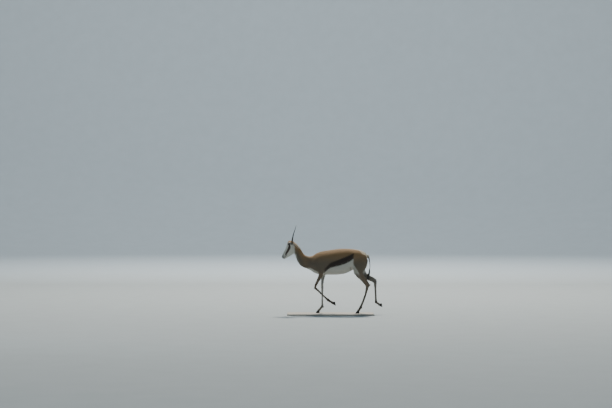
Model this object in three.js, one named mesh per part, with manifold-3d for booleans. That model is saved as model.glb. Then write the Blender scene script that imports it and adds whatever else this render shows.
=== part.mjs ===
// A life-size springbok ewe in mid stride, on a plain display base. Millimetres, +Z up.
// She faces -X, with her left side towards -Y. The left foreleg and the right hind leg are lifted.
import * as THREE from "three";
import { mergeVertices } from "three/addons/utils/BufferGeometryUtils.js";
import Module from "manifold-3d";

const wasm = await Module();
wasm.setup();

// Driving dimensions
const fit = 0.3; // gap between neighbouring pieces
const baseLength = 1080;
const baseWidth = 400;
const baseHeight = 20;
const baseShift = -20; // middle of the base along the animal
const muzzleTip = [-621, 692]; // x and z of the front of the muzzle
const headTurn = 50; // degrees of the head's axis below level
const eyeRadius = 16.5;
const eyeOpening = [32, 22]; // length and height of the gap between the lids
const lidThickness = 2.4;
const earLength = 150;
const earWidth = 52;
const earWall = 2.2;
const hornLength = 200;
const hornBaseRadius = 11.5;
const hornTipRadius = 1.8;
const hoofLength = 50;
const clawWidth = 17.5;
const clawGap = 2.4;
const dewclawRadii = [5.5, 4.5, 8];
const tuftLocks = 18;
const tuftTop = 540; // height where the tuft begins on the tail

// Colours of the coat, horn and base
const tan = "#a9764c";
const white = "#e6dfd2";
const black = "#1d1916";
const wood = "#8f8a80";

const radians = THREE.MathUtils.degToRad;
const vec = (x, y, z) => new THREE.Vector3(x, y, z);

// A repeatable draw between 0 and 1
let seed = 7;
function draw() {
  seed = (seed * 16807) % 2147483647;
  return seed / 2147483647;
}

// One cross-section of a form: its centre, half-depths over and under it, half-width, and how
// pinched (above 1) or square (below 1) its upper and lower halves are.
function station(x, y, z, over, under, side, crest = 1, keel = 1) {
  return { at: vec(x, y, z), half: vec(over, under, side), pinch: vec(crest, keel, 0) };
}

// Smooth values between the stations, and the directions of the cross-section there. Upright
// sections stand in the X plane, and others stand across the line of their centres.
function flow(stations, upright) {
  const line = new THREE.CatmullRomCurve3(stations.map((s) => s.at));
  const half = new THREE.CatmullRomCurve3(stations.map((s) => s.half), false, "catmullrom", 0.5);
  const pinch = new THREE.CatmullRomCurve3(stations.map((s) => s.pinch), false, "catmullrom", 0.5);
  return (t) => {
    const along = upright ? vec(1, 0, 0) : line.getTangent(t);
    const up = along.clone().cross(vec(0, 1, 0)).normalize();
    const across = up.clone().cross(along).normalize();
    return { at: line.getPoint(t), half: half.getPoint(t), pinch: pinch.getPoint(t), along, up, across };
  };
}

// The point at an angle round a cross-section, with 90 degrees at its top
function onSection(s, angle, scale = 1, push = 0) {
  const cos = Math.cos(angle);
  const sin = Math.sin(angle);
  const power = sin > 0 ? s.pinch.x : s.pinch.y;
  const wide = -Math.sign(cos) * Math.abs(cos) ** power * s.half.z * scale;
  const high = sin * (sin > 0 ? s.half.x : s.half.y) * scale;
  return s.at.clone().addScaledVector(s.across, wide).addScaledVector(s.up, high)
    .addScaledVector(s.along, push);
}

// A closed form through its stations, with round ends of the given lengths
function loft(stations, { around = 20, rows = 16, ends = [8, 8], upright = false } = {}) {
  const at = flow(stations, upright);
  const ring = new THREE.SphereGeometry(1, around, rows);
  const place = ring.getAttribute("position");
  for (let row = 0; row <= rows; row += 1) {
    const t = Math.min(Math.max((row - 2) / (rows - 4), 0), 1);
    const s = at(t);
    const end = row < 2 ? 0 : 1;
    const capStep = row < 2 ? 2 - row : Math.max(row - rows + 2, 0);
    const scale = [1, 0.72, 0][capStep];
    const push = [0, 0.7, 1][capStep] * ends[end] * (end ? 1 : -1);
    for (let k = 0; k <= around; k += 1) {
      const angle = (2 * Math.PI * (k % around)) / around;
      const p = onSection(s, angle, scale, push);
      place.setXYZ(row * (around + 1) + k, p.x, p.y, p.z);
    }
  }
  return ring;
}

// Joining and cutting
function solid(geometry) {
  const bare = geometry.clone();
  bare.deleteAttribute("normal");
  bare.deleteAttribute("uv");
  const merged = mergeVertices(bare, 1e-3);
  return new wasm.Manifold(new wasm.Mesh({
    numProp: 3,
    vertProperties: new Float32Array(merged.getAttribute("position").array),
    triVerts: new Uint32Array(merged.index.array),
  }));
}

const join = (solids) => solids.reduce((whole, piece) => whole.add(piece));

const largest = (whole) => whole.decompose().reduce((a, b) => (b.volume() > a.volume() ? b : a));

function placed(geometry, x, y, z, turnY = 0, turnX = 0) {
  const turned = geometry.clone().rotateX(radians(turnX)).rotateY(radians(turnY));
  return turned.translate(x, y, z);
}

// A block whose top face is centred on a point. It reaches down from there, and turns about that point.
function blockUnder([x, y, z], [long, wide, deep], turnY, turnX, grow) {
  const box = new THREE.BoxGeometry(long + 2 * grow, wide + 2 * grow, deep + 2 * grow);
  return solid(placed(box.translate(0, 0, -deep / 2), x, y, z, turnY, turnX));
}

// Parts a solid in two with a thin cut along the faces of a block
function partBy(whole, point, size, turnY = 0, turnX = 0) {
  const inside = whole.intersect(blockUnder(point, size, turnY, turnX, 0));
  const outside = whole.subtract(blockUnder(point, size, turnY, turnX, fit));
  return [largest(inside), largest(outside)];
}

function ball(x, y, z, rx, ry, rz, wide = 10, high = 6) {
  return solid(new THREE.SphereGeometry(1, wide, high).scale(rx, ry, rz).translate(x, y, z));
}

const springbok = new THREE.Group();

function addNode(name, shape, color, roughness) {
  const { vertProperties, triVerts } = largest(shape).getMesh();
  const geometry = new THREE.BufferGeometry();
  geometry.setAttribute("position", new THREE.BufferAttribute(vertProperties, 3));
  geometry.setIndex(new THREE.BufferAttribute(triVerts, 1));
  geometry.computeVertexNormals();
  const material = new THREE.MeshStandardMaterial({ color, roughness, metalness: 0 });
  const mesh = new THREE.Mesh(geometry, material);
  mesh.name = name;
  springbok.add(mesh);
}

// Trunk: x, top, bottom, half-width and the height where it is widest
function trunkStation(x, top, bottom, side, widest, crest, keel) {
  return station(x, 0, widest, top - widest, widest - bottom, side, crest, keel);
}

function trunk() {
  return solid(loft([
    trunkStation(-296, 694, 556, 54, 618, 1, 1),
    trunkStation(-245, 724, 508, 80, 612, 1.15, 1),
    trunkStation(-195, 752, 492, 92, 615, 1.3, 1.05),
    trunkStation(-145, 771, 483, 99, 620, 1.4, 1.05),
    trunkStation(-80, 784, 479, 104, 625, 1.25, 1),
    trunkStation(0, 795, 479, 112, 632, 1.05, 0.95),
    trunkStation(80, 806, 482, 116, 640, 1, 0.95),
    trunkStation(155, 810, 492, 112, 655, 1, 1),
    trunkStation(225, 806, 518, 105, 675, 1, 1.1),
    trunkStation(290, 800, 556, 100, 690, 1, 1.1),
    trunkStation(345, 791, 582, 94, 695, 1, 1),
    trunkStation(392, 772, 598, 80, 690, 1, 1),
    trunkStation(424, 750, 618, 60, 685, 1, 1),
  ], { around: 26, rows: 21, ends: [22, 20], upright: true }));
}

function neck() {
  return solid(loft([
    station(-478, 0, 838, 36, 44, 32),
    station(-446, 0, 795, 50, 46, 36),
    station(-420, 0, 752, 54, 48, 39),
    station(-395, 0, 708, 56, 62, 44),
    station(-362, 0, 670, 70, 76, 53),
    station(-316, 0, 642, 82, 88, 62),
    station(-250, 0, 630, 84, 92, 68),
  ], { around: 20, rows: 11, ends: [10, 30] }));
}

// Head, in its own frame: X runs from the muzzle to the back of the skull, Z towards the forehead
const headStations = [
  [4, 11, -27, 14.5, -9, 0.8, 0.9],
  [14, 19, -35, 19, -9, 0.85, 0.9],
  [34, 25, -43, 21.5, -10, 0.95, 1],
  [60, 31, -52, 23, -9, 1, 1.05],
  [88, 38, -62, 27, -5, 1.05, 1.1],
  [115, 45, -71, 33, 2, 1, 1.15],
  [140, 53, -78, 39.5, 14, 0.95, 1.2],
  [163, 62, -77, 48, 32, 0.85, 1.2],
  [186, 71, -68, 52, 42, 0.8, 1.15],
  [207, 76, -55, 48, 38, 0.85, 1.1],
  [225, 68, -42, 40, 26, 0.9, 1],
  [238, 48, -28, 28, 10, 1, 1],
].map(([s, top, bottom, side, widest, crest, keel]) => (
  trunkStation(s, top, bottom, side, widest, crest, keel)));
const headFlow = flow(headStations, true);

const toHead = new THREE.Matrix4()
  .makeTranslation(muzzleTip[0], 0, muzzleTip[1])
  .multiply(new THREE.Matrix4().makeRotationY(-radians(headTurn)));
const inHead = (geometry) => solid(geometry.clone().applyMatrix4(toHead));

function skull() {
  return inHead(loft(headStations, { around: 28, rows: 20, ends: [6, 10], upright: true }));
}

const eyeAt = [187, 38, 47]; // in the head's frame, on the right side
const eyeTurn = [9, 5]; // degrees that the eye looks forward and up
const browSize = [25, 14, 18]; // radii of the swelling round the eye

function eyeSphere(side, radius, grow = 0) {
  const [x, y, z] = eyeAt;
  const sphere = new THREE.SphereGeometry(radius + grow, 14, 8).rotateX(Math.PI / 2);
  return inHead(sphere.translate(x, side * y, z));
}

// The rim of the eye socket, a low swelling that carries the lids
function brow(side) {
  const [x, y, z] = eyeAt;
  const swelling = new THREE.SphereGeometry(1, 16, 9).rotateX(Math.PI / 2).scale(...browSize);
  return inHead(swelling.rotateZ(side * radians(eyeTurn[0])).translate(x + 1, side * y, z));
}

// The gap between the lids: an almond pushed outwards from the middle of the eye
function lidGap(side) {
  const [long, high] = eyeOpening;
  const almond = new THREE.Shape();
  almond.moveTo(-long / 2, -1.5);
  almond.quadraticCurveTo(-long / 5, high * 0.62, long / 5, high * 0.5);
  almond.quadraticCurveTo(long * 0.42, high * 0.34, long / 2, 0);
  almond.quadraticCurveTo(long / 6, -high * 0.74, -long / 2, -1.5);
  const depth = eyeRadius * 2;
  const prism = new THREE.ExtrudeGeometry(almond, { depth, bevelEnabled: false, curveSegments: 4 });
  prism.rotateX(Math.PI / 2);
  if (side > 0) prism.translate(0, depth, 0);
  prism.rotateX(side * radians(eyeTurn[1])).rotateZ(side * radians(eyeTurn[0]));
  return inHead(prism.translate(eyeAt[0], side * eyeAt[1], eyeAt[2]));
}

// A tube along a line of points
function tube(points, radius, sides, steps) {
  const ring = new THREE.Shape();
  for (let k = 0; k < sides; k += 1) {
    const angle = (2 * Math.PI * k) / sides;
    if (k) ring.lineTo(radius * Math.cos(angle), radius * Math.sin(angle));
    else ring.moveTo(radius, 0);
  }
  const extrudePath = new THREE.CatmullRomCurve3(points);
  return new THREE.ExtrudeGeometry(ring, { steps, bevelEnabled: false, extrudePath });
}

// Points round the muzzle at the line of the mouth, from one corner to the other
function mouthLine(lift, sink) {
  const points = [];
  for (let k = -8; k <= 8; k += 1) {
    const back = Math.abs(k) / 8;
    const s = headFlow(back * 0.29);
    const height = -17 - 5 * back + lift;
    const sin = (height - s.at.z) / s.half.y;
    const angle = k < 0 ? Math.PI - Math.asin(sin) : Math.asin(sin);
    const front = k === 0;
    const p = onSection(s, front ? -Math.PI / 2 : angle);
    if (front) p.set(-2 + sink, 0, height);
    else p.y -= Math.sign(p.y) * sink;
    points.push(p);
  }
  return points;
}

function nostril(side) {
  const [long, wide, high] = [9, 3.2, 4.4];
  const hole = new THREE.SphereGeometry(1, 8, 5).scale(long, wide, high);
  return inHead(placed(hole, 6, side * 11, 6, 35));
}

function headDetail(head) {
  let shape = head;
  for (const side of [-1, 1]) {
    shape = shape.add(brow(side)).add(eyeSphere(side, eyeRadius + lidThickness));
  }
  for (const lift of [3.6, -3.6]) {
    shape = shape.add(inHead(tube(mouthLine(lift, 2.6), 3.8, 5, 18)));
  }
  shape = shape.subtract(inHead(tube(mouthLine(0, 0.4), 1.5, 4, 18)));
  for (const side of [-1, 1]) {
    shape = shape.subtract(lidGap(side)).subtract(eyeSphere(side, eyeRadius, fit));
    shape = shape.subtract(nostril(side));
  }
  return shape;
}

const earRoot = [-476, 34, 872];
const earAim = vec(0.53, 0.72, -0.45).normalize();
const earFace = vec(-0.62, 0.1, -0.72);

// A leaf-shaped form that runs outwards from the ear's root, thinner by a wall on every side
function earLeaf(wall) {
  return loft([
    trunkStation(-8 + wall, 11 - wall, -11 + wall, 11 - wall, 0),
    trunkStation(14, 15 - wall, -14 + wall, 14 - wall, 0),
    trunkStation(45, 16 - wall, -15 + wall, earWidth * 0.42 - wall, 0),
    trunkStation(80, 12 - wall, -12 + wall, earWidth * 0.5 - wall, 0),
    trunkStation(112, 8 - wall, -8 + wall, earWidth * 0.4 - wall, 0),
    trunkStation(136, 5 - wall, -5 + wall, earWidth * 0.2 - wall, 0),
    trunkStation(earLength - 4 - 2 * wall, 2.6 - wall / 2, -2.6 + wall / 2, 4 - wall, 0),
  ], { around: 14, rows: 11, ends: [3, 4], upright: true });
}

function setEar(geometry, side) {
  const aim = vec(earAim.x, side * earAim.y, earAim.z);
  const face = vec(earFace.x, side * earFace.y, earFace.z);
  face.addScaledVector(aim, -face.dot(aim)).normalize();
  const basis = new THREE.Matrix4().makeBasis(aim, face.clone().cross(aim), face);
  basis.setPosition(earRoot[0], side * earRoot[1], earRoot[2]);
  return solid(geometry.clone().applyMatrix4(basis));
}

// The open side of the ear is cut away along a slope, and its cup is cut out of what is left
function ear(side) {
  const open = new THREE.BoxGeometry(2 * earLength, 2 * earWidth, 60).translate(earLength, 0, 30)
    .rotateY(radians(6)).translate(22, 0, 13);
  const cup = earLeaf(earWall).translate(9, 0, earWall + 1.5);
  return setEar(earLeaf(0), side).subtract(setEar(open, side)).subtract(setEar(cup, side));
}

// Horn: a slender ringed spike that leans back, then turns its tip in
function horn(side, grow = 0) {
  const rows = 24;
  const line = new THREE.CatmullRomCurve3([
    vec(-500, side * 21, 886 - grow),
    vec(-496, side * 23, 915),
    vec(-487, side * 28, 965),
    vec(-473, side * 33, 1015),
    vec(-458, side * 33, 1058),
    vec(-448, side * 28, 900 + hornLength),
  ]);
  const spike = new THREE.CylinderGeometry(1, 1, 1, 8, rows);
  const place = spike.getAttribute("position");
  for (let k = 0; k < place.count; k += 1) {
    const t = 0.5 - place.getY(k);
    const row = Math.round(t * rows);
    const ring = row < 0.66 * rows ? 0.95 + 0.1 * (row % 2) : 1;
    const radius = THREE.MathUtils.lerp(hornBaseRadius, hornTipRadius, t) * ring + grow;
    const along = line.getTangent(t);
    const up = along.clone().cross(vec(0, 1, 0)).normalize();
    const p = line.getPoint(t).addScaledVector(up, place.getX(k) * radius)
      .addScaledVector(up.clone().cross(along), -place.getZ(k) * radius);
    place.setXYZ(k, p.x, p.y, p.z);
  }
  return solid(spike);
}

// Legs. Each segment runs upwards, so over is its front and under its rear.
const foreUpper = {
  lifted: (y) => [
    station(-211, y, 320, 16, 15, 14),
    station(-207, y, 350, 16, 15, 14),
    station(-186, y, 392, 17, 18, 15),
    station(-160, y * 1.05, 440, 21, 22, 18),
    station(-140, y * 1.1, 488, 30, 32, 23),
    station(-152, y * 1.25, 545, 48, 42, 29),
    station(-188, y * 1.32, 600, 58, 50, 32),
    station(-198, y * 1.24, 655, 48, 48, 26),
    station(-182, y * 0.95, 705, 28, 32, 12),
  ],
  standing: (y) => [
    station(-121, y, 316, 17, 15, 14),
    station(-121, y, 346, 16, 15, 14),
    station(-119, y, 392, 17, 18, 15),
    station(-115, y * 1.05, 440, 22, 23, 18),
    station(-108, y * 1.1, 488, 33, 34, 23),
    station(-130, y * 1.25, 545, 48, 44, 29),
    station(-172, y * 1.32, 600, 58, 50, 32),
    station(-188, y * 1.24, 655, 48, 48, 26),
    station(-176, y * 0.95, 705, 28, 32, 12),
  ],
};

const hindUpper = {
  standing: (y) => [
    station(441, y, 345, 23, 30, 15, 1, 1.2),
    station(421, y, 376, 23, 38, 15, 1, 1.6),
    station(397, y, 411, 29, 38, 18, 1, 1.4),
    station(368, y * 1.08, 452, 38, 40, 24),
    station(338, y * 1.2, 495, 52, 58, 33),
    station(325, y * 1.3, 545, 70, 82, 42),
    station(335, y * 1.35, 602, 86, 98, 45),
    station(347, y * 1.35, 662, 96, 102, 43),
    station(350, y * 1.15, 716, 84, 76, 30),
    station(346, y * 0.9, 756, 46, 40, 13),
  ],
  lifted: (y) => [
    station(541, y, 388, 22, 30, 15, 1, 1.2),
    station(514, y, 408, 23, 38, 15, 1, 1.6),
    station(480, y, 427, 28, 38, 18, 1, 1.4),
    station(440, y * 1.08, 449, 35, 36, 24),
    station(393, y * 1.2, 478, 48, 52, 33),
    station(350, y * 1.3, 528, 68, 78, 42),
    station(336, y * 1.35, 596, 86, 98, 45),
    station(347, y * 1.35, 662, 96, 102, 43),
    station(350, y * 1.15, 716, 84, 76, 30),
    station(346, y * 0.9, 756, 46, 40, 13),
  ],
};

// The pastern of a standing foot, from the fetlock to the middle of the coronet
const forePastern = [-45, -53];
const hindPastern = [-28, -47];

// Each leg's joints as x and z, how far its foot is turned back, and the thickness of its cannon
const legs = [
  {
    name: "foreleg_left", side: -1, y: 48, footY: 40, upper: foreUpper.lifted, joint: [-211, 320],
    fetlock: [-50, 166], pastern: forePastern, turn: 100, slim: 10.5, top: 16, knee: [17, 15, 21],
  },
  {
    name: "foreleg_right", side: 1, y: 48, footY: 40, upper: foreUpper.standing, joint: [-121, 318],
    fetlock: [-121, 84], pastern: forePastern, turn: 0, slim: 10.5, top: 16, knee: [17, 15, 21],
  },
  {
    name: "hindleg_left", side: -1, y: 50, footY: 42, upper: hindUpper.standing, joint: [443, 346],
    fetlock: [357, 78], pastern: hindPastern, turn: 0, slim: 12.5, top: 22, knee: [20, 15.5, 24],
    heel: [470, 362], bow: 10,
  },
  {
    name: "hindleg_right", side: 1, y: 50, footY: 42, upper: hindUpper.lifted, joint: [541, 388],
    fetlock: [551, 138], pastern: hindPastern, turn: 84, curl: 18, slim: 12.5, top: 22,
    knee: [20, 15.5, 24], heel: [551, 419],
  },
];

const between = (a, b, t) => THREE.MathUtils.lerp(a, b, t);

// Turns x and z back about the fetlock, as a lifted foot is
function turned([x, z], degrees) {
  const [c, s] = [Math.cos(radians(degrees)), Math.sin(radians(degrees))];
  return [x * c - z * s, x * s + z * c];
}

// A cannon from the fetlock up to the knee or hock, deeper at both ends than in the middle
function cannon({ side, y, footY, joint, fetlock, slim, top, bow = 0 }) {
  return solid(loft([
    [0, 15.5, 14],
    [0.12, 13, 11.5],
    [0.3, slim, slim * 0.8],
    [0.62, slim, slim * 0.82],
    [0.86, (slim + top) / 2, 12],
    [1, top, 14],
  ].map(([t, deep, wide]) => {
    const [x, z] = [0, 1].map((k) => between(fetlock[k], joint[k], t));
    return station(x + bow * Math.sin(Math.PI * t), side * between(footY, y, t), z, deep, deep, wide);
  }), { around: 10, rows: 9, ends: [12, 12] }));
}

// The middle of a leg's coronet, where its hooves begin
function coronetOf({ fetlock, pastern, turn }) {
  const [dx, dz] = turned(pastern, turn);
  return [fetlock[0] + dx, fetlock[1] + dz];
}

function pasternOf(leg) {
  const [x, z] = coronetOf(leg);
  const y = leg.side * leg.footY;
  const steps = [[-0.25, 14, 17], [0.05, 17, 17.5], [0.45, 14, 15], [0.85, 15.5, 14.5], [1.05, 16.5, 14.5]];
  return solid(loft(steps.map(([t, deep, wide]) => (
    station(between(x, leg.fetlock[0], t), y, between(z, leg.fetlock[1], t), deep, deep, wide)
  )), { around: 10, rows: 8, ends: [4, 10] }));
}

// Foot frame: the toe points along -X, the sole is level, and the middle of the coronet is the origin
const coronetHeight = 31;
const coronetSlope = 21; // degrees that the coronet falls towards the heel
function setFoot(geometry, leg, offset = 0) {
  const [x, z] = coronetOf(leg);
  const back = leg.turn + (leg.curl ?? 0);
  return solid(placed(geometry.clone().translate(0, offset, 0), x, leg.side * leg.footY, z, -back));
}

function claw(leg, place) {
  const wide = clawWidth / 2;
  const toe = 0.78 * hoofLength;
  const shape = loft([
    trunkStation(-toe + 2, -27, -33, 4, -29, 0.7, 0.4),
    trunkStation(-toe * 0.76, -17, -35, wide * 0.8, -27, 0.7, 0.4),
    trunkStation(-toe * 0.45, 4, -36, wide * 0.97, -26, 0.6, 0.4),
    trunkStation(-toe * 0.1, 16, -36, wide, -24, 0.5, 0.4),
    trunkStation(hoofLength * 0.16, 8, -36, wide * 0.95, -24, 0.6, 0.4),
    trunkStation(hoofLength * 0.2, -8, -35, wide * 0.7, -24, 0.7, 0.4),
  ], { around: 8, rows: 7, ends: [2, 2], upright: true });
  const above = new THREE.BoxGeometry(120, 60, 60).translate(0, 0, 30 - fit / 2)
    .rotateY(radians(coronetSlope));
  const below = new THREE.BoxGeometry(120, 60, 30).translate(0, 0, -coronetHeight - 15);
  const offset = place * (wide + clawGap / 2);
  return setFoot(shape, leg, offset).subtract(setFoot(above, leg)).subtract(setFoot(below, leg));
}

function dewclaw(leg, place, grow = 0) {
  const [a, b, c] = dewclawRadii.map((r) => r + grow);
  const nub = new THREE.SphereGeometry(1, 7, 5).scale(a, b, c).rotateY(radians(25));
  const y = leg.side * leg.footY + 9 * place;
  const spot = nub.translate(15, 0, -9).rotateY(radians(-leg.turn));
  return solid(spot.translate(leg.fetlock[0], y, leg.fetlock[1]));
}

const steepness = (from, to) => new THREE.Vector2(to[0] - from[0], to[1] - from[1]).normalize();

// The turn of a cut that halves the bend between two segments
function bisect(a, b) {
  const middle = a.clone().add(b);
  return THREE.MathUtils.radToDeg(Math.atan2(middle.x, middle.y));
}

// How far above the middle of the fetlock the foot is parted from the cannon
const ankleRise = 21;
const heelRun = 34; // how far down the cannon the bone of the heel begins

// Builds one leg: its upper part for the trunk, and its cannon, pastern and hooves as nodes
function buildLeg(leg) {
  const { side, y, footY, joint, fetlock, knee, heel } = leg;
  const upperStations = leg.upper(side * y);
  const upper = solid(loft(upperStations, { around: 16, rows: 14, ends: [10, 14] }));
  const pieces = [upper, cannon(leg), ball(joint[0], side * y, joint[1], knee[0], knee[1], knee[2])];
  const cannonWay = steepness(fetlock, joint);
  if (heel) {
    const from = [joint[0] - heelRun * cannonWay.x, joint[1] - heelRun * cannonWay.y];
    pieces.push(solid(loft([
      station(from[0] + 3, side * y, from[1], 14, 14, 10),
      station(between(heel[0], from[0], 0.42), side * y, between(heel[1], from[1], 0.42), 13, 13, 11),
      station(heel[0], side * y, heel[1], 10, 10, 8),
    ], { around: 8, rows: 7, ends: [5, 6] })));
  }
  pieces.push(pasternOf(leg));
  const [at0, at2] = [upperStations[0].at, upperStations[2].at];
  const coronet = coronetOf(leg);
  const upperWay = steepness([at0.x, at0.z], [at2.x, at2.z]);
  const pasternWay = steepness(coronet, fetlock);
  const lowerSize = [500, 90, 500];
  const [below, thigh] = partBy(
    join(pieces), [joint[0], side * y, joint[1]], lowerSize, bisect(upperWay, cannonWay));
  const [riseX, riseZ] = [ankleRise * cannonWay.x, ankleRise * cannonWay.y];
  const ankleTop = [fetlock[0] + riseX, side * footY, fetlock[1] + riseZ];
  const [foot, shank] = partBy(below, ankleTop, [120, 90, 160], bisect(cannonWay, pasternWay));
  const sole = new THREE.BoxGeometry(200, 90, 90).translate(0, 0, -45 + fit / 2);
  let ankle = foot.subtract(setFoot(sole.rotateY(radians(coronetSlope)), leg));
  for (const [place, label] of [[-1, side > 0 ? "inner" : "outer"], [1, side > 0 ? "outer" : "inner"]]) {
    addNode(`hoof_${leg.name}_${label}`, claw(leg, place), black, 0.45);
    addNode(`dewclaw_${leg.name}_${label}`, dewclaw(leg, place), black, 0.5);
    ankle = ankle.subtract(dewclaw(leg, place, fit));
  }
  addNode(`pastern_${leg.name}`, ankle, white, 0.9);
  addNode(`cannon_${leg.name}`, shank, white, 0.9);
  return thigh;
}

// Tail: a thin bowed tail that hangs behind the rump, with a tuft of black locks at its end
const tailStations = [
  [438, 724, 14, 13],
  [455, 706, 12, 12],
  [466, 668, 8, 8.5],
  [473, 615, 5.5, 6],
  [473, 565, 5, 5.5],
  [464, 525, 7, 7],
  [456, 485, 7, 7],
  [451, 452, 3.5, 3.5],
];

function tailCore(grow = 0) {
  const stations = tailStations.map(([x, z, deep, wide]) => (
    station(x, 0, z, deep + grow, deep + grow, wide + grow)));
  return solid(loft(stations, { around: 8, rows: 15, ends: [5 + grow, 8] }));
}

// A flat tapered lock that bends from its root to its tip
function lock(root, bend, tip, wide, thick, facing) {
  const line = new THREE.QuadraticBezierCurve3(root, bend, tip);
  const blade = new THREE.CylinderGeometry(1, 1, 1, 4, 3);
  const place = blade.getAttribute("position");
  for (let k = 0; k < place.count; k += 1) {
    const t = 0.5 - place.getY(k);
    const taper = [0.8, 1, 0.75, 0.12][Math.round(t * 3)];
    const along = line.getTangent(t);
    const across = facing.clone().cross(along).normalize();
    const out = across.clone().cross(along).negate();
    const p = line.getPoint(t).addScaledVector(across, place.getX(k) * wide * taper)
      .addScaledVector(out, place.getZ(k) * thick * Math.max(taper, 0.3));
    place.setXYZ(k, p.x, p.y, p.z);
  }
  return solid(blade);
}

// The tuft, and the tail above it
function tail() {
  const dock = flow(tailStations.map(([x, z, deep, wide]) => station(x, 0, z, deep, deep, wide)), false);
  const pieces = [tailCore()];
  for (let k = 0; k < tuftLocks; k += 1) {
    const share = k / (tuftLocks - 1);
    const s = dock(0.71 + 0.25 * share);
    const angle = 2.4 * k + 0.5 * draw();
    const out = vec(Math.cos(angle), Math.sin(angle), 0);
    const length = 52 + 12 * draw() - 22 * share;
    const spread = 15 + 7 * draw();
    const root = s.at.clone().addScaledVector(out, 1.5);
    const bend = s.at.clone().addScaledVector(out, spread).add(vec(0, 0, -0.45 * length));
    const tip = s.at.clone().addScaledVector(out, spread * 0.6).add(vec(-3, 0, -length));
    pieces.push(lock(root, bend, tip, 5.6, 2, out));
  }
  return partBy(join(pieces), [460, 0, tuftTop], [200, 120, 300]);
}

// Display base
function base() {
  const [x, y, r] = [baseLength / 2, baseWidth / 2, 24];
  const outline = new THREE.Shape();
  outline.moveTo(-x + r, -y);
  outline.lineTo(x - r, -y);
  outline.absarc(x - r, -y + r, r, -Math.PI / 2, 0);
  outline.absarc(x - r, y - r, r, 0, Math.PI / 2);
  outline.absarc(-x + r, y - r, r, Math.PI / 2, Math.PI);
  outline.absarc(-x + r, -y + r, r, Math.PI, 1.5 * Math.PI);
  const bevel = 2;
  const board = new THREE.ExtrudeGeometry(outline, {
    depth: baseHeight - 2 * bevel, curveSegments: 4, bevelThickness: bevel, bevelSize: bevel,
    bevelOffset: -bevel, bevelSegments: 1,
  });
  return solid(board.translate(baseShift, 0, -baseHeight + bevel - fit));
}

// A block under a sloping plane that holds one leg, with its top where the leg leaves the trunk
function legBlock({ from, to, bottom, top, rise, slope }, side, grow) {
  const block = new THREE.BoxGeometry(2, 2, 2);
  const place = block.getAttribute("position");
  for (let k = 0; k < place.count; k += 1) {
    const x = place.getX(k) < 0 ? from - grow : to + grow;
    const inner = place.getY(k) * side < 0;
    const y = inner ? 2 - grow : 160 + grow;
    const z = place.getZ(k) < 0 ? bottom : top + rise * y + slope * (x - from) + 1.4 * grow;
    place.setXYZ(k, x, side * y, z);
  }
  return solid(block);
}

const shoulderCut = { from: -262, to: -60, bottom: 250, top: 450, rise: 0.85, slope: 0 };
const hipCut = { from: 240, to: 620, bottom: 250, top: 497, rise: 0.85, slope: 0.42 };

let body = join([trunk(), neck(), skull(), ...legs.map(buildLeg)]);
legs.forEach(({ name, side }) => {
  const cut = name.startsWith("fore") ? shoulderCut : hipCut;
  addNode(name, body.intersect(legBlock(cut, side, 0)), tan, 0.9);
  body = body.subtract(legBlock(cut, side, fit));
});
body = body.subtract(tailCore(fit));
const [headShape, belowHead] = partBy(body, [-451, 0, 790], [380, 260, 300], 98);
const [neckShape, torso] = partBy(belowHead, [-308, 0, 632], [500, 300, 320], 106);
let head = headDetail(headShape);
for (const [side, label] of [[-1, "left"], [1, "right"]]) {
  head = head.subtract(setEar(earLeaf(-fit), side)).subtract(horn(side, fit));
  addNode(`ear_${label}`, ear(side), tan, 0.9);
  addNode(`horn_${label}`, horn(side), black, 0.5);
  addNode(`eye_${label}`, eyeSphere(side, eyeRadius), black, 0.1);
}
addNode("head", head, white, 0.9);
addNode("neck", neckShape, tan, 0.9);
addNode("torso", torso, tan, 0.9);
const [tuftShape, tailShape] = tail();
addNode("tail", tailShape, tan, 0.9);
addNode("tail_tuft", tuftShape, black, 0.9);
addNode("stand_base", base(), wood, 0.7);

// The middle of the whole stands over the origin
const extent = new THREE.Box3().setFromObject(springbok);
springbok.position.set(-(extent.min.x + extent.max.x) / 2, 0, baseHeight + fit);

export default springbok;
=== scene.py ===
# %% [markdown]
# # A springbok ewe in mid stride
# A museum model of this small antelope is made by laying a short coat over a firm form. The
# form comes packed, as solids at real size. This lesson dresses it: one smooth skin over all
# the flesh, some three hundred thousand thin tufts that lie along the body, bright eyes in
# dark lids, ringed horns and small hooves, on a plain matt board.

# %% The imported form
import math

import bmesh
import bpy
import numpy as np
from mathutils import Matrix, Vector
from mathutils.bvhtree import BVHTree


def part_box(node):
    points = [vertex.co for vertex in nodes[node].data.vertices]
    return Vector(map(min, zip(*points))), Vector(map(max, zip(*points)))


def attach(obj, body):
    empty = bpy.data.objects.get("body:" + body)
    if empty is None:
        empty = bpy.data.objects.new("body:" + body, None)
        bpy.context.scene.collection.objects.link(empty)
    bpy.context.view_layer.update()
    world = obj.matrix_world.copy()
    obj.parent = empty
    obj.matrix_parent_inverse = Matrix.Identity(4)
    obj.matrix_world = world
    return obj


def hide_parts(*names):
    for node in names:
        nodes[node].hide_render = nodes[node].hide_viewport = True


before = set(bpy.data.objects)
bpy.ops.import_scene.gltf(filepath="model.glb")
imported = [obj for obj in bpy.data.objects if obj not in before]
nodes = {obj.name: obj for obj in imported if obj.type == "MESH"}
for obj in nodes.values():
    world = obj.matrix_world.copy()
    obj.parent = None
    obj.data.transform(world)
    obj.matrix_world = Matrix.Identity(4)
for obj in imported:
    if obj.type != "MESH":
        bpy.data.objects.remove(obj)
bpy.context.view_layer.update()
print("nodes:", len(nodes))

# %% [markdown]
# ## Places on the animal
# The form was drawn from the side in millimetres, measured back from a point under the
# animal's middle and up from the ground under its hooves. The board carries both marks: its
# own middle is a little ahead of that point, and its top is the ground. So a place is written
# here in the same millimetres, and one function moves it into the frame.

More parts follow.
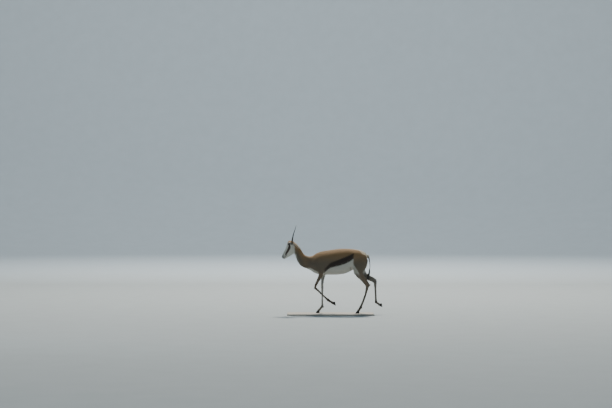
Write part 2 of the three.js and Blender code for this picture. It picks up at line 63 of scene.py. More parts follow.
# %% From millimetres to the frame
MM = 0.001
BOARD_AHEAD = 20  # the board's middle is this far ahead of the animal's
HOOF_GAP = 0.3  # between the board and the hooves
board_low, board_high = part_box("stand_base")
MIDDLE = (board_low.x + board_high.x) / 2 + BOARD_AHEAD * MM
GROUND = board_high.z + HOOF_GAP * MM


def place(x, y, z):
    """A place on the animal, in millimetres, as a point of the frame."""
    return Vector((MIDDLE + x * MM, y * MM, GROUND + z * MM))


def measured(points):
    """Points of the frame as rows of millimetres on the animal."""
    return (points - np.array([MIDDLE, 0, GROUND])) / MM


print("middle %.4f, ground %.4f" % (MIDDLE, GROUND))

# %% [markdown]
# ## The camera
# The photographer stood some twenty metres away, square to the animal's left side, with a long
# lens held level. The horizon's row in the picture gives the height of the lens, and the size
# of the animal gives the distance. The animal stays small in the picture, as it was framed.

# %% Camera
PICTURE_WIDTH = 612  # pixels
PICTURE_MIDDLE = (306, 204)
HORIZON_ROW = 206.5
ANIMAL_COLUMN = 332  # the column of the animal's middle
GROUND_ROW = 313.2
FOCAL_PIXELS = 1600
PIXEL = 0.0125  # metres at the animal
SENSOR = 36.0

camera = bpy.data.objects.new("camera", bpy.data.cameras.new("camera"))
bpy.context.scene.collection.objects.link(camera)
bpy.context.scene.camera = camera
camera.data.sensor_width = SENSOR
camera.data.lens = SENSOR * FOCAL_PIXELS / PICTURE_WIDTH
camera.data.clip_end = 200
camera.location = (
    MIDDLE + (PICTURE_MIDDLE[0] - ANIMAL_COLUMN) * PIXEL,
    -FOCAL_PIXELS * PIXEL,
    GROUND + (GROUND_ROW - HORIZON_ROW) * PIXEL,
)
tilt = math.atan((HORIZON_ROW - PICTURE_MIDDLE[1]) / FOCAL_PIXELS)
camera.rotation_euler = (math.pi / 2 + tilt, 0, 0)
print("camera at", tuple(round(c, 3) for c in camera.location))

# %% [markdown]
# ## Floor and light
# The sun of the picture stands high on the far side, so it lights the back, the nape and the
# ears, while the near side is in open shade. In the studio a large lamp high on the far side
# does the same, and a pale room and a weaker lamp near the camera fill the shade. A third lamp
# shines away from the animal, on the wall behind it.

# %% Studio
CHEST = (0, 0, 0.65)
ROOM = (0.68, 0.88, 1.0, 1)
ROOM_STRENGTH = 0.43


def lamp(name, position, aim, size, power, colour):
    """A square soft lamp that shines from a position towards an aim."""
    light = bpy.data.objects.new(name, bpy.data.lights.new(name, "AREA"))
    bpy.context.scene.collection.objects.link(light)
    light.data.size = size
    light.data.energy = power
    light.data.color = colour
    light.location = position
    way = Vector(aim) - Vector(position)
    light.rotation_euler = way.to_track_quat("-Z", "Y").to_euler()
    print(name, power, "W")


lamp("sun_lamp", (0.9, 7.8, 15.0), CHEST, 2.7, 4300, (1.0, 0.93, 0.82))
lamp("near_lamp", (-3.4, -4.4, 2.4), CHEST, 2.6, 8, (0.85, 0.93, 1.0))
lamp("wall_lamp", (0, 10, 14), (0, 35, 10), 6, 5500, (0.95, 0.98, 1.0))
world = bpy.data.worlds.new("room")
bpy.context.scene.world = world
world.use_nodes = True
room = world.node_tree.nodes["Background"]
room.inputs["Color"].default_value = ROOM
room.inputs["Strength"].default_value = ROOM_STRENGTH

# %% [markdown]
# ## Finishes as arithmetic
# A material in Blender is a graph of nodes. A small class keeps such graphs short to write: a
# wrapped output can be added and multiplied like a number, and each sign adds a Math node. One
# method of the finish adds any other node.

# %% Values
class Value:
    """An output of a node. Arithmetic on it adds Math nodes."""

    def __init__(self, finish, output):
        self.finish, self.output = finish, output

    def maths(self, operation, *parts):
        return self.finish.node("Math", {"operation": operation}, dict(enumerate(parts)))

    def __add__(self, other):
        return self.maths("ADD", self, other)

    def __mul__(self, other):
        return self.maths("MULTIPLY", self, other)

    __radd__ = __add__
    __rmul__ = __mul__


print("values take + and *")

# %% Finishes
class Finish:
    """A material, with one method for any node and one for each common step."""

    def __init__(self, name, **constants):
        self.material = bpy.data.materials.new(name)
        self.material.use_nodes = True
        self.tree = self.material.node_tree
        self.shader = self.tree.nodes["Principled BSDF"]
        for key, value in constants.items():
            socket = key.replace("_", " ").title().replace("Ior", "IOR")
            self.shader.inputs[socket].default_value = value

    def feed(self, socket, value):
        if isinstance(value, Value):
            self.tree.links.new(value.output, socket)
        else:
            socket.default_value = value

    def node(self, kind, settings=None, inputs=None, output=0):
        made = self.tree.nodes.new("ShaderNode" + kind)
        for key, value in (settings or {}).items():
            setattr(made, key, value)
        for key, value in (inputs or {}).items():
            self.feed(made.inputs[key], value)
        return Value(self, made.outputs[output])

    def set(self, socket, value):
        self.feed(self.shader.inputs[socket], value)

    def attribute(self, name):
        return self.node("Attribute", {"attribute_name": name}, output="Color")

    def position(self):
        return self.node("TexCoord", output="Object")

    def stretch(self, scale):
        return self.node("Mapping", {}, {"Vector": self.position(), "Scale": scale})

    def noise(self, scale, detail=3.0, at=None, roughness=0.5):
        at = at or self.position()
        inputs = {"Vector": at, "Scale": scale, "Detail": detail, "Roughness": roughness}
        return self.node("TexNoise", {}, inputs)

    def mix(self, factor, first, second, blend="MIX"):
        settings = {"data_type": "RGBA", "blend_type": blend}
        return self.node("Mix", settings, {0: factor, 6: first, 7: second}, output=2)

    def two_tones(self, factor, first, second):
        """A base colour between two colours of the screen."""
        self.set("Base Color", self.mix(factor, (*colour(*first), 1), (*colour(*second), 1)))

    def shaded(self, tone, shade):
        """A base colour made darker or lighter by a number."""
        grey = self.node("CombineColor", {}, {0: shade, 1: shade, 2: shade})
        self.set("Base Color", self.mix(1.0, tone, grey, "MULTIPLY"))

    def bump(self, height, strength, distance):
        inputs = {"Height": height, "Strength": strength, "Distance": distance}
        self.set("Normal", self.node("Bump", {}, inputs))


def colour(red, green, blue):
    """A colour of the screen, 0 to 255, as the linear colour that a shader takes."""
    return tuple(((c / 255 + 0.055) / 1.055) ** 2.4 if c > 10 else c / 3295
                 for c in (red, green, blue))


print("middle grey is %.3f to a shader" % colour(128, 128, 128)[0])


# %% [markdown]
# ## The floor and the board
# A museum stands such a model on a painted board. Its paint is even, with the faint orange peel
# that a roller leaves. The floor is a plain pale sheet that bends up into a wall all round, far
# away, as in a photographer's studio, so no edge shows behind the animal from any side.

# %% Floor
FLAT, BEND, WALL = 26.0, 9.0, 9.0  # metres: the flat floor, the bend's radius and the wall
BEND_STEPS = 12
ROUND_STEPS = 72
floor_finish = Finish("pale_floor", roughness=0.9)
floor_finish.two_tones(floor_finish.noise(3.0, 4.0), (160, 168, 172), (169, 177, 181))

bowl = bmesh.new()
profile = [bowl.verts.new((0, 0, 0)), bowl.verts.new((FLAT, 0, 0))]
for step in range(1, BEND_STEPS + 1):
    turn = math.radians(90 * step / BEND_STEPS)
    out, up = BEND * math.sin(turn), BEND * (1 - math.cos(turn))
    profile.append(bowl.verts.new((FLAT + out, 0, up)))
profile.append(bowl.verts.new((FLAT + BEND, 0, BEND + WALL)))
line = [bowl.edges.new(pair) for pair in zip(profile, profile[1:])]
bmesh.ops.spin(bowl, geom=profile + line, axis=(0, 0, 1), cent=(0, 0, 0), angle=2 * math.pi,
               steps=ROUND_STEPS, use_merge=True)
bmesh.ops.remove_doubles(bowl, verts=bowl.verts, dist=0.001)
bmesh.ops.recalc_face_normals(bowl, faces=bowl.faces)
if bowl.faces[0].normal.z < 0:
    bmesh.ops.reverse_faces(bowl, faces=bowl.faces)
floor_mesh = bpy.data.meshes.new("floor")
bowl.to_mesh(floor_mesh)
floor_mesh.shade_smooth()
floor = bpy.data.objects.new("floor", floor_mesh)
bpy.context.scene.collection.objects.link(floor)
floor_mesh.materials.append(floor_finish.material)
print("floor:", len(floor_mesh.polygons), "faces")

# %% Board
board_finish = Finish("painted_board")
grain = board_finish.noise(5.0, 8.0, board_finish.stretch((1.5, 14, 14)), 0.6)
peel = board_finish.noise(420.0, 2.0)
board_finish.two_tones(grain, (164, 158, 150), (182, 177, 169))
board_finish.set("Roughness", 0.62 + 0.2 * grain)
board_finish.bump(peel + grain * 0.6, 0.35, 0.0006)
board = nodes["stand_base"].data
board.materials.clear()
board.materials.append(board_finish.material)
print("board finished")

# %% [markdown]
# ## One skin over all the flesh
# The solids part the flesh at the throat, the shoulders and the joints of the legs, but a real
# animal has no seams. So copies of those solids are swollen until they overlap, and a voxel
# remesh melts them into one closed surface. It needs small voxels for the lids and ears. The
# long smooth flanks don't, so Decimate thins them and leaves the head fine.

# %% Meshes as arrays
FLESH = sorted(n for n in nodes if n.split("_")[0] in (
    "head", "neck", "torso", "ear", "foreleg", "hindleg", "cannon", "pastern") or n == "tail")
SWELL = 0.45 * MM
VOXEL = 2.1 * MM


def new_object(name, mesh):
    thing = bpy.data.objects.new(name, mesh)
    bpy.context.scene.collection.objects.link(thing)
    return thing


def merged_copy(names, swell=0.0):
    """The named solids in one bmesh, each merged and pushed out along its normals."""
    whole = bmesh.new()
    for name in names:
        one = bmesh.new()
        one.from_mesh(nodes[name].data)
        bmesh.ops.remove_doubles(one, verts=one.verts, dist=0.01 * MM)
        one.normal_update()
        for vert in one.verts:
            vert.co += vert.normal * swell
        carrier = bpy.data.meshes.new("carrier")
        one.to_mesh(carrier)
        whole.from_mesh(carrier)
        bpy.data.meshes.remove(carrier)
        one.free()
    return whole


def settle(thing):
    """Applies an object's modifiers to its mesh."""
    bpy.context.view_layer.update()
    depsgraph = bpy.context.evaluated_depsgraph_get()
    old, mesh = thing.data, bpy.data.meshes.new_from_object(thing.evaluated_get(depsgraph))
    thing.modifiers.clear()
    thing.data = mesh
    bpy.data.meshes.remove(old)


def modifier(thing, kind, **settings):
    made = thing.modifiers.new(kind.lower(), kind)
    for key, value in settings.items():
        setattr(made, key, value)
    return made


def array_of(collection, key, width, kind=float):
    values = np.empty(len(collection) * width, dtype=kind)
    collection.foreach_get(key, values)
    return values.reshape(-1, width) if width > 1 else values


def set_points(mesh, points):
    mesh.vertices.foreach_set("co", points.ravel())
    mesh.update()


print("flesh:", len(FLESH), "solids")

# %% The melted skin
form = merged_copy(FLESH, SWELL)
skin = new_object("skin", bpy.data.meshes.new("skin"))
form.to_mesh(skin.data)
modifier(skin, "REMESH", mode="VOXEL", voxel_size=VOXEL, adaptivity=0)
settle(skin)
print("melted:", len(skin.data.polygons), "faces")


def keep_largest(mesh):
    """Deletes every piece of a mesh but the one with the most vertices."""
    edges = array_of(mesh.edges, "vertices", 2, int)
    label = np.arange(len(mesh.vertices))
    while True:
        lowest = np.minimum(label[edges[:, 0]], label[edges[:, 1]])
        grown = label.copy()
        np.minimum.at(grown, edges[:, 0], lowest)
        np.minimum.at(grown, edges[:, 1], lowest)
        grown = grown[grown]
        if (grown == label).all():
            break
        label = grown
    main = np.bincount(label).argmax()
    if (label != main).any():
        shape = bmesh.new()
        shape.from_mesh(mesh)
        shape.verts.ensure_lookup_table()
        loose = [shape.verts[k] for k in np.flatnonzero(label != main)]
        bmesh.ops.delete(shape, geom=loose, context="VERTS")
        shape.to_mesh(mesh)
    return int((label != main).sum())


print("loose vertices removed:", keep_largest(skin.data))

# %% [markdown]
# ## Which part a point belongs to
# The coat's length, lie and colour change from part to part. Each point of the skin asks for
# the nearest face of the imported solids, and takes that solid's name.

# %% Parts
bounds_of = {name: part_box(name) for name in nodes}
form.faces.ensure_lookup_table()
face_counts = []
for name in FLESH:
    single = merged_copy([name])
    face_counts.append(len(single.faces))
    single.free()
face_owner = np.repeat(np.arange(len(FLESH)), face_counts)
tree = BVHTree.FromBMesh(form)


def parts_of(points):
    """For each point, the place in FLESH of the solid that is nearest."""
    return np.array([face_owner[tree.find_nearest(Vector(p))[2]] for p in points])


def is_part(owners, *starts):
    """Which owners have a name that begins with one of the given words."""
    chosen = [k for k, name in enumerate(FLESH) if name.startswith(starts)]
    return np.isin(owners, chosen)


def centre_of(name):
    low, high = bounds_of[name]
    return (low + high) / 2
print("faces of the solids:", len(face_owner))

# %% Thinning the flanks
SKIN_FACES = 112_000
FINE_SHARE = 0.12  # how strongly the head is thinned
BELOW_HEAD, BEHIND_EARS = 0.03, 0.01  # metres that are still kept fine
points = array_of(skin.data.vertices, "co", 3)
neck_low = bounds_of["head"][0].z - BELOW_HEAD
head_back = bounds_of["ear_left"][1].x + BEHIND_EARS
fine = (points[:, 0] < head_back) & (points[:, 2] > neck_low)
weights = skin.vertex_groups.new(name="coarse")
weights.add(np.flatnonzero(~fine).tolist(), 1.0, "REPLACE")
weights.add(np.flatnonzero(fine).tolist(), FINE_SHARE, "REPLACE")
ratio = SKIN_FACES / (2 * len(skin.data.polygons))
modifier(skin, "DECIMATE", ratio=ratio, vertex_group="coarse", use_collapse_triangulate=True)
settle(skin)
skin.vertex_groups.clear()
print("thinned:", len(skin.data.polygons), "faces")

# %% [markdown]
# ## The head's own frame
# The face is easiest to describe along its own axis, which points fifty degrees down. In this
# frame a place on the head is: how far back from the tip of the muzzle, how far to the side,
# and how far up towards the forehead, all in millimetres.

# %% Head frame
MUZZLE = (-621, 0, 692)
HEAD_TURN = math.radians(50)
head_axes = Matrix.Rotation(-HEAD_TURN, 3, "Y")
head_basis = np.array(head_axes)


def in_head(points):
    """Points of the frame as rows in the head's frame."""
    return (measured(points) - np.array(MUZZLE)) @ head_basis


EYE_RADIUS = 16.5
EYE_TURN = (9, 5)  # degrees forward and up
eye_centres = {side: centre_of("eye_left" if side < 0 else "eye_right") for side in (-1, 1)}


def eye_axes(side):
    """Back along the face, out along the gaze, and up, as the columns of a matrix."""
    turn = Matrix.Rotation(side * math.radians(EYE_TURN[0]), 3, "Z")
    lift = Matrix.Rotation(side * math.radians(EYE_TURN[1]), 3, "X")
    axes = head_axes @ turn @ lift
    axes.col[1] *= side
    return axes


def to_eyes(points):
    """The distance in millimetres to the nearer eye's centre."""
    far = [np.linalg.norm(points - np.array(eye_centres[side]), axis=1) for side in (-1, 1)]
    return np.minimum(*far) / MM


print("eyes at", [round(c, 3) for c in eye_centres[-1]])

# %% [markdown]
# ## A finer face
# Lids, lips and nostrils need points about a millimetre apart. Cutting each edge in two there,
# and only there, keeps the rest of the skin light.

# %% Finer face
MUZZLE_END = 82  # millimetres back from the tip
SOCKET = 34  # millimetres from the eye's centre that belong to its lids
shape = bmesh.new()
shape.from_mesh(skin.data)
shape.verts.ensure_lookup_table()
points = array_of(skin.data.vertices, "co", 3)
front = in_head(points)[:, 0] < MUZZLE_END
near_head = (points[:, 0] < head_back) & (points[:, 2] > neck_low)
detailed = near_head & ((to_eyes(points) < SOCKET) | front)
chosen = [e for e in shape.edges if detailed[e.verts[0].index] and detailed[e.verts[1].index]]
bmesh.ops.subdivide_edges(shape, edges=chosen, cuts=1, use_grid_fill=True)
bmesh.ops.triangulate(shape, faces=shape.faces)
shape.to_mesh(skin.data)
shape.free()
print("with a finer face:", len(skin.data.polygons), "faces")

# %% [markdown]
# ## Smoothing without shrinking
# Plain smoothing melts a thin leg away. Taubin's way follows each pull inwards by a slightly
# stronger push outwards, so facets vanish while the girth stays. The trunk gets most of it,
# the face the least. Where the neck enters the shoulders, plain smoothing takes out the crease
# between the two solids.

# %% Smoothing
edges = array_of(skin.data.edges, "vertices", 2, int)
points = array_of(skin.data.vertices, "co", 3)
owners = parts_of(points)
neighbours = np.bincount(edges.ravel(), minlength=len(points))[:, None].clip(1)
print("edges:", len(edges))


def around(values):
    """The mean of each vertex's neighbours."""
    near = np.zeros_like(values)
    for column in range(values.shape[1]):
        for one, two in ((0, 1), (1, 0)):
            beside = values[edges[:, two], column]
            near[:, column] += np.bincount(edges[:, one], beside, len(values))
    return near / neighbours


def spread(values, rounds):
    """Softens a field over the skin."""
    for _ in range(rounds):
        values = (values + around(values)) / 2
    return values


def smoothed(points, share, rounds, pull, push=0.0):
    """Points pulled towards their neighbours and pushed back out, each by its share."""
    for _ in range(rounds):
        points = points + share * pull * (around(points) - points)
        if push:
            points = points - share * push * (around(points) - points)
    return points


def lay(points):
    """Moves the skin's vertices to the points, and returns its normals there."""
    set_points(skin.data, points)
    return array_of(skin.data.vertices, "normal", 3)


# %% Smoothing the skin
SMOOTH_SHARE = {"head": 0.5, "ear": 0.35, "cannon": 0.8, "pastern": 0.6, "tail": 0.6}
NECK_BASE, NECK_BASE_REACH = -285, 52
gentle = np.ones((len(points), 1))
for part, amount in SMOOTH_SHARE.items():
    gentle[is_part(owners, part)] = amount
points = smoothed(points, spread(gentle, 6), rounds=14, pull=0.5, push=0.52)
broad = np.zeros((len(points), 1))
broad[is_part(owners, "torso", "neck", "foreleg", "hindleg")] = 1
broad = spread(broad, 12)
points = smoothed(points, broad, rounds=45, pull=0.6, push=0.62)
from_base = (measured(points)[:, :1] - NECK_BASE) / NECK_BASE_REACH
points = smoothed(points, np.exp(-(from_base ** 2)) * broad, rounds=45, pull=0.6)
normals = lay(points)
print("smoothed", len(points), "points")

# %% [markdown]
# ## Collars
# Smoothing draws the skin back from the small claws behind each fetlock. A low swelling puts
# it round their roots again, so that each claw grows out of the leg.

# %% Collars of skin
COLLAR_HEIGHT, COLLAR_REACH = 3.6, 9.0
collar = np.zeros((len(points), 1))
low_leg = is_part(owners, "cannon", "pastern")
for name in sorted(nodes):
    if name.startswith("dewclaw"):
        away = np.linalg.norm(points - np.array(centre_of(name)), axis=1) / MM
        collar[:, 0] += COLLAR_HEIGHT * np.exp(-((away / COLLAR_REACH) ** 2)) * low_leg
points = points + normals * collar * MM
normals = lay(points)
print("collars up to %.1f mm" % collar.max())

# %% [markdown]
# ## Room for the coat
# The solids reach to the tips of the hair. So the skin moves in by the depth of the coat: a few
# millimetres on the trunk and neck, about one on the face and the shins, none on the thin ears.

# %% Coat depth
DEPTH = {"torso": 3.6, "neck": 3.6, "foreleg": 2.2, "hindleg": 2.6, "head": 1.0, "cannon": 1.0,
         "pastern": 1.0, "tail": 2.6, "ear": 0.0}
depth = np.zeros((len(points), 1))
for part, amount in DEPTH.items():
    depth[is_part(owners, part)] = amount * MM
depth = spread(depth, 10)
points = points - normals * depth
normals = lay(points)
print("coat depth up to %.1f mm" % (depth.max() / MM))

# %% [markdown]
# ## Sculpting the face
# The skull shows through the thin skin of a face as low ridges and hollows. Each is a move of
# the skin's points along its normals that fades with distance from a line, seen from the side.

# %% Bones of the face
# From, to, width and height in millimetres
BONES = [
    ((158, 20), (92, -8), 7, 1.6),  # the ridge below the eye
    ((166, 30), (158, 34), 7, -1.8),  # the gland's hollow before it
    ((168, -20), (150, -48), 22, 2.4),  # the cheek's muscle
    ((120, -20), (96, -40), 12, -1.8),  # before the cheek
    ((212, 34), (224, 20), 10, -2.2),  # the temple
    ((60, 8), (120, 22), 8, -0.9),  # beside the nose's bridge
]


def rise(value, start, end):
    """A smooth step from 0 at the start to 1 at the end."""
    t = np.clip((value - start) / (end - start), 0, 1)
    return t * t * (3 - 2 * t)


def swell(flat, start, end, width, height):
    """A soft ridge, or a hollow if negative, along a line seen from the side, in millimetres."""
    line = np.array(end, float) - np.array(start, float)
    away = flat - np.array(start, float)
    t = np.clip(away @ line / max(line @ line, 1e-9), 0, 1)
    distance = np.linalg.norm(away - t[:, None] * line, axis=1)
    return height * np.exp(-((distance / width) ** 2))


def relief_of(flat, ridges):
    return sum(swell(flat, *ridge) for ridge in ridges)


head_only = is_part(owners, "head")
bones = relief_of(in_head(points)[:, [0, 2]], BONES)
points = points + normals * (bones * np.abs(normals[:, 1]) * head_only * MM)[:, None]
print("bones from %.1f to %.1f mm" % (bones.min(), bones.max()))

# %% [markdown]
# ## Lids
# Lids are skin that slides on the eyeball. So around each eye the skin is held just outside
# the ball, and inside the almond opening it is held just under it. A fold runs over the upper
# lid, with the brow above it.

# %% Lids on the balls
ALMOND = (15.2, 10.2)  # half the length and half the height of the opening
ALMOND_POINT = 0.3  # above 0, the corners are pointed
ALMOND_LOW = 0.84  # the lower lid's height as a share of the upper one's
ALMOND_DROP = 1.6  # the front corner hangs lower than the back one by twice this
INSIDE, OUTSIDE = 1.6, 1.5  # millimetres that the skin is held in or off the ball
# Place and width, in sizes of the opening, and height in millimetres
FOLD = (1.52, 0.16, 0.9)
BROW = (1.95, 0.3, 1.1)


def almond_edge(angle):
    """The opening's outline in millimetres back along the face and up, from its back end."""
    back = ALMOND[0] * math.cos(angle)
    high = 1.0 if math.sin(angle) > 0 else ALMOND_LOW
    up = ALMOND[1] * high * math.sin(angle) * abs(math.sin(angle)) ** ALMOND_POINT
    return back, up + ALMOND_DROP * math.cos(angle)


def in_almond(back, up):
    """Below 1 inside the opening, 1 on its edge."""
    up = up - ALMOND_DROP * back / ALMOND[0]
    high = np.where(up > 0, ALMOND[1], ALMOND[1] * ALMOND_LOW)
    return np.sqrt((back / ALMOND[0]) ** 2 + np.abs(up / high) ** (2 / (1 + ALMOND_POINT)))


for side in (-1, 1):
    centre = np.array(eye_centres[side])
    local = (points - centre) @ np.array(eye_axes(side)) / MM
    radius = np.linalg.norm(local, axis=1)
    ring = in_almond(local[:, 0], local[:, 2])
    near = head_only & (local[:, 1] > 1) & (radius < SOCKET) & (points[:, 1] * side > 0)
    shut = rise(ring, 0.93, 1.05)
    under = np.minimum(radius, EYE_RADIUS - INSIDE)
    rim = EYE_RADIUS + OUTSIDE - 0.5 * rise(ring, 1.2, 1.9)
    over = np.maximum(radius, rim * rise(ring, 2.4, 1.9) + radius * rise(ring, 1.9, 2.4))
    upper = np.clip(local[:, 2] / 8, 0, 1)
    over = over - FOLD[2] * np.exp(-((ring - FOLD[0]) / FOLD[1]) ** 2) * (0.45 + 0.55 * upper)
    over = over + BROW[2] * np.exp(-((ring - BROW[0]) / BROW[1]) ** 2) * upper
    held = under + (over - under) * shut
    scale = np.where(near, held / np.maximum(radius, 1), 1)
    points = centre + (points - centre) * scale[:, None]
normals = lay(points)
print("lids of one eye:", int(near.sum()), "points")

# %% [markdown]
# ## Mouth and nostrils
# The mouth is a crease that runs back from the nose between two full lips. Each nostril is a
# comma-shaped slit with a raised rim.

# %% Mouth
MOUTH_LENGTH = 68
LIP_LINE = (-17, -5)  # its height at the front, and how much it drops to the back
CREASE = (2.8, 1.5)  # depth and width
LIPS = (1.0, 4.6, 2.4)  # height, distance from the crease, and width


def mouth_height(back):
    return LIP_LINE[0] + LIP_LINE[1] * np.clip(back / MOUTH_LENGTH, 0, 1)


back, across, up = in_head(points).T
below = up - mouth_height(back)
mouth = rise(back, 78, 66) * head_only
carve = -CREASE[0] * np.exp(-((below / CREASE[1]) ** 2)) * mouth
lips = LIPS[0] * np.exp(-(((np.abs(below) - LIPS[1]) / LIPS[2]) ** 2))
carve += lips * mouth * rise(back, 70, 30)
cleft = np.exp(-((across / 1.1) ** 2)) * rise(back, 15, 8) * rise(up, -17, -13) * rise(up, 8, 2)
carve += -1.5 * cleft * head_only
points = points + normals * (carve * MM)[:, None]
print("mouth %.1f mm deep" % -carve.min())

# %% Nostrils
NOSTRIL = (8, 9.6, 3.5)  # the middle of the slit: back, to the side and up
SLIT = (8.2, 1.5)  # half its length and half its width
NOSTRIL_DEPTH, NOSTRIL_RIM = 4.6, 0.9


def nostril_reach(back, across, up):
    """Below 1 inside the slit of either nostril, which runs up, out and back in a comma."""
    out, rise_up, behind = np.abs(across) - NOSTRIL[1], up - NOSTRIL[2], back - NOSTRIL[0]
    along_slit = 0.52 * out + 0.66 * rise_up + 0.54 * behind
    beside_slit = 0.78 * out - 0.62 * rise_up + 0.04 * along_slit ** 2 - 0.6
    return np.sqrt((along_slit / SLIT[0]) ** 2 + (beside_slit / SLIT[1]) ** 2)


reach = nostril_reach(*in_head(points).T)
hole = -NOSTRIL_DEPTH * np.exp(-(reach ** 2.2))
hole = hole + NOSTRIL_RIM * np.exp(-(((reach - 2.1) / 0.6) ** 2))
points = points + normals * (hole * head_only * rise(back, 30, 20) * MM)[:, None]
normals = lay(points)
print("nostrils %.1f mm deep" % -(hole * head_only).min())

# %% [markdown]
# ## Muscle under the coat
# The solids give the big forms. Under a short coat the eye also finds smaller ones: the edge
# of the shoulder blade, the ribs, the hollow of the flank before the thigh, and the point of
# the hip. Each is a soft ridge or hollow, only a few millimetres high.

# %% Muscle relief
# From, to, width and height in millimetres
MUSCLES = [
    ((-185, 700), (-235, 600), 16, 2.4),  # front edge of the shoulder blade
    ((-130, 690), (-120, 600), 18, -2.2),  # behind the shoulder
    ((-150, 560), (-95, 540), 20, 2.6),  # upper arm
    ((215, 740), (235, 640), 26, -4.2),  # hollow of the flank
    ((262, 742), (290, 756), 16, 4.5),  # point of the hip
    ((230, 505), (222, 575), 10, -5.0),  # fold between belly and thigh
    ((395, 700), (385, 560), 22, 2.4),  # edge of the hamstring
    ((330, 700), (300, 560), 28, 2.4),  # front of the thigh
]
RIBS = [((x - 12, 700), (x + 26, 560), 7, 0.7) for x in range(-60, 133, 32)]
relief = relief_of(measured(points)[:, [0, 2]], MUSCLES + RIBS)
body = is_part(owners, "torso", "foreleg", "hindleg")
side_on = np.abs(normals[:, 1]) ** 0.7
soft = spread((relief * body * side_on * MM)[:, None], 4)
points = points + normals * soft
normals = lay(points)
print("relief up to %.1f mm" % (np.abs(soft).max() / MM))

# %% [markdown]
# ## Markings
# A springbok is cinnamon above and white below, with a dark brown band between. The face is
# white with a dark stripe from the eye to the mouth, the rump has a pale patch that opens over
# the tail, and the inner legs are white. Painted shade greys the sides of the trunk and neck and
# the inner legs, darkens the groin's fold, and adds to the dark of the lower tail. Each border is
# a short line of places read off the animal's side, so the skin and every tuft can ask the same
# function for their colour.

# %% Colours of the coat
def pigment(red, green, blue):
    return np.array(colour(red, green, blue))


CINNAMON = pigment(165, 130, 87)
# The side's brown is the cinnamon coat made greyer and darker, as painted shade
SHADED_SIDE_BROWN = pigment(113, 101, 86)
BAND = pigment(52, 38, 31)
WHITE = pigment(206, 203, 194)
CREAM = pigment(208, 196, 170)
STRIPE = pigment(66, 47, 38)
CROWN = pigment(138, 104, 68)
NOSE = pigment(62, 55, 52)
LEG_BROWN = pigment(124, 106, 88)
SHANK = pigment(106, 96, 84)
EAR_BACK = pigment(160, 138, 108)
TAIL_DARK_AND_SHADE = pigment(74, 60, 50)


def even(tone, count):
    """One colour for a number of points."""
    return np.tile(tone, (count, 1))


def blend(first, second, share):
    return first + (second - first) * share[:, None]


def along(border, value):
    """The border's other coordinate at a value."""
    return np.interp(value, [a for a, _ in border], [b for _, b in border])


print("cinnamon", CINNAMON.round(3), "white", WHITE.round(3))

# %% Borders on the trunk
# As x and z in millimetres, unless a comment says otherwise
BAND_TOP = [(-95, 562), (-60, 602), (-25, 634), (37, 659), (100, 684), (162, 709), (225, 736),
            (262, 752), (330, 766)]
BAND_FOOT = [(-95, 520), (-60, 552), (-25, 575), (37, 590), (100, 605), (162, 628), (225, 658),
             (262, 690), (330, 730)]
BAND_START = (-116, -84)
ELBOW, ELBOW_HALF, ELBOW_DROP = -138, 30, 50  # the brown that comes down over the elbow
BELLY_START = -95
BRISKET = [(-300, 566), (-272, 566), (-246, 555), (-213, 537), (-187, 529), (-95, 521)]
BRISKET_HALF, BRISKET_RISE = 30, 34  # the white comes higher between the forelegs
THIGH_FRONT = [(330, 440), (399, 362), (532, 291), (600, 262), (640, 251), (740, 258)]  # z, x
MARGIN = [(380, 22), (470, 27), (540, 24), (600, 10)]  # z, and the white margin's width
PATCH_HALF = [(140, 0), (200, 6), (270, 13), (330, 27), (350, 56), (378, 76), (470, 82)]  # x, y
PATCH_WAIST = (24, 690, 42)  # how much narrower, at what height, and over what reach
FOLD_START = 150
# Painted shade in the fold between belly and thigh: from, to, width and strength
GROIN_FOLD_SHADE = ((229, 512), (222, 574), 8, 0.55)
print("the band runs from x %d to %d" % (BAND_TOP[0][0], BAND_TOP[-1][0]))

# %% Colours of the trunk
def cinnamon_back_shaded_side(z, upwards):
    """Cinnamon on the back and on faces that look up, and a greyer brown down the side, which is
    painted shade.
    """
    share = np.clip(0.75 * rise(z, 610, 760) + 0.35 * rise(upwards, 0.2, 0.9), 0, 1)
    return blend(even(SHADED_SIDE_BROWN, len(z)), CINNAMON, share)


def leg_margin(x, z):
    """White along the front of the thigh and down the leg, nearly to the hock."""
    edge = along(THIGH_FRONT, z) + along(MARGIN, z)
    return 0.8 * rise(x, edge + 9, edge - 4) * rise(z, 625, 585) * rise(z, 365, 405)


def white_below(x, y, outwards):
    """The height of the white's upper border, from the brisket to the flank."""
    under = np.where(x < BELLY_START, along(BRISKET, x), along(BAND_FOOT, x))
    under = under + BRISKET_RISE * np.exp(-((y / BRISKET_HALF) ** 2)) * rise(x, -170, -270)
    elbow = np.exp(-(((x - ELBOW) / ELBOW_HALF) ** 2)) * rise(outwards, 0.15, 0.5)
    return under - ELBOW_DROP * elbow


def thigh_white(x, z, outwards, forwards):
    """The share of white on a thigh: inside, behind and along its front."""
    pale = rise(outwards - 0.75 * np.clip(forwards, 0, 1) * rise(z, 665, 610), 0.12, -0.16)
    behind = 0.7 * rise(-forwards, 0.6, 0.9) * rise(z, 590, 560) * rise(z, 470, 540)
    return np.maximum(np.maximum(pale, behind), leg_margin(x, z)) * rise(z, 690, 640)


def rump_patch(x, y, z):
    """The share of cream on the rump and along the fold of the back."""
    less, height, over = PATCH_WAIST
    waist = less * np.exp(-(((z - height) / over) ** 2)) * rise(x, 335, 385)
    half = along(PATCH_HALF, x) - waist
    return rise(half - np.abs(y), -5, 5) * rise(x, FOLD_START, FOLD_START + 30) * rise(z, 560, 590)


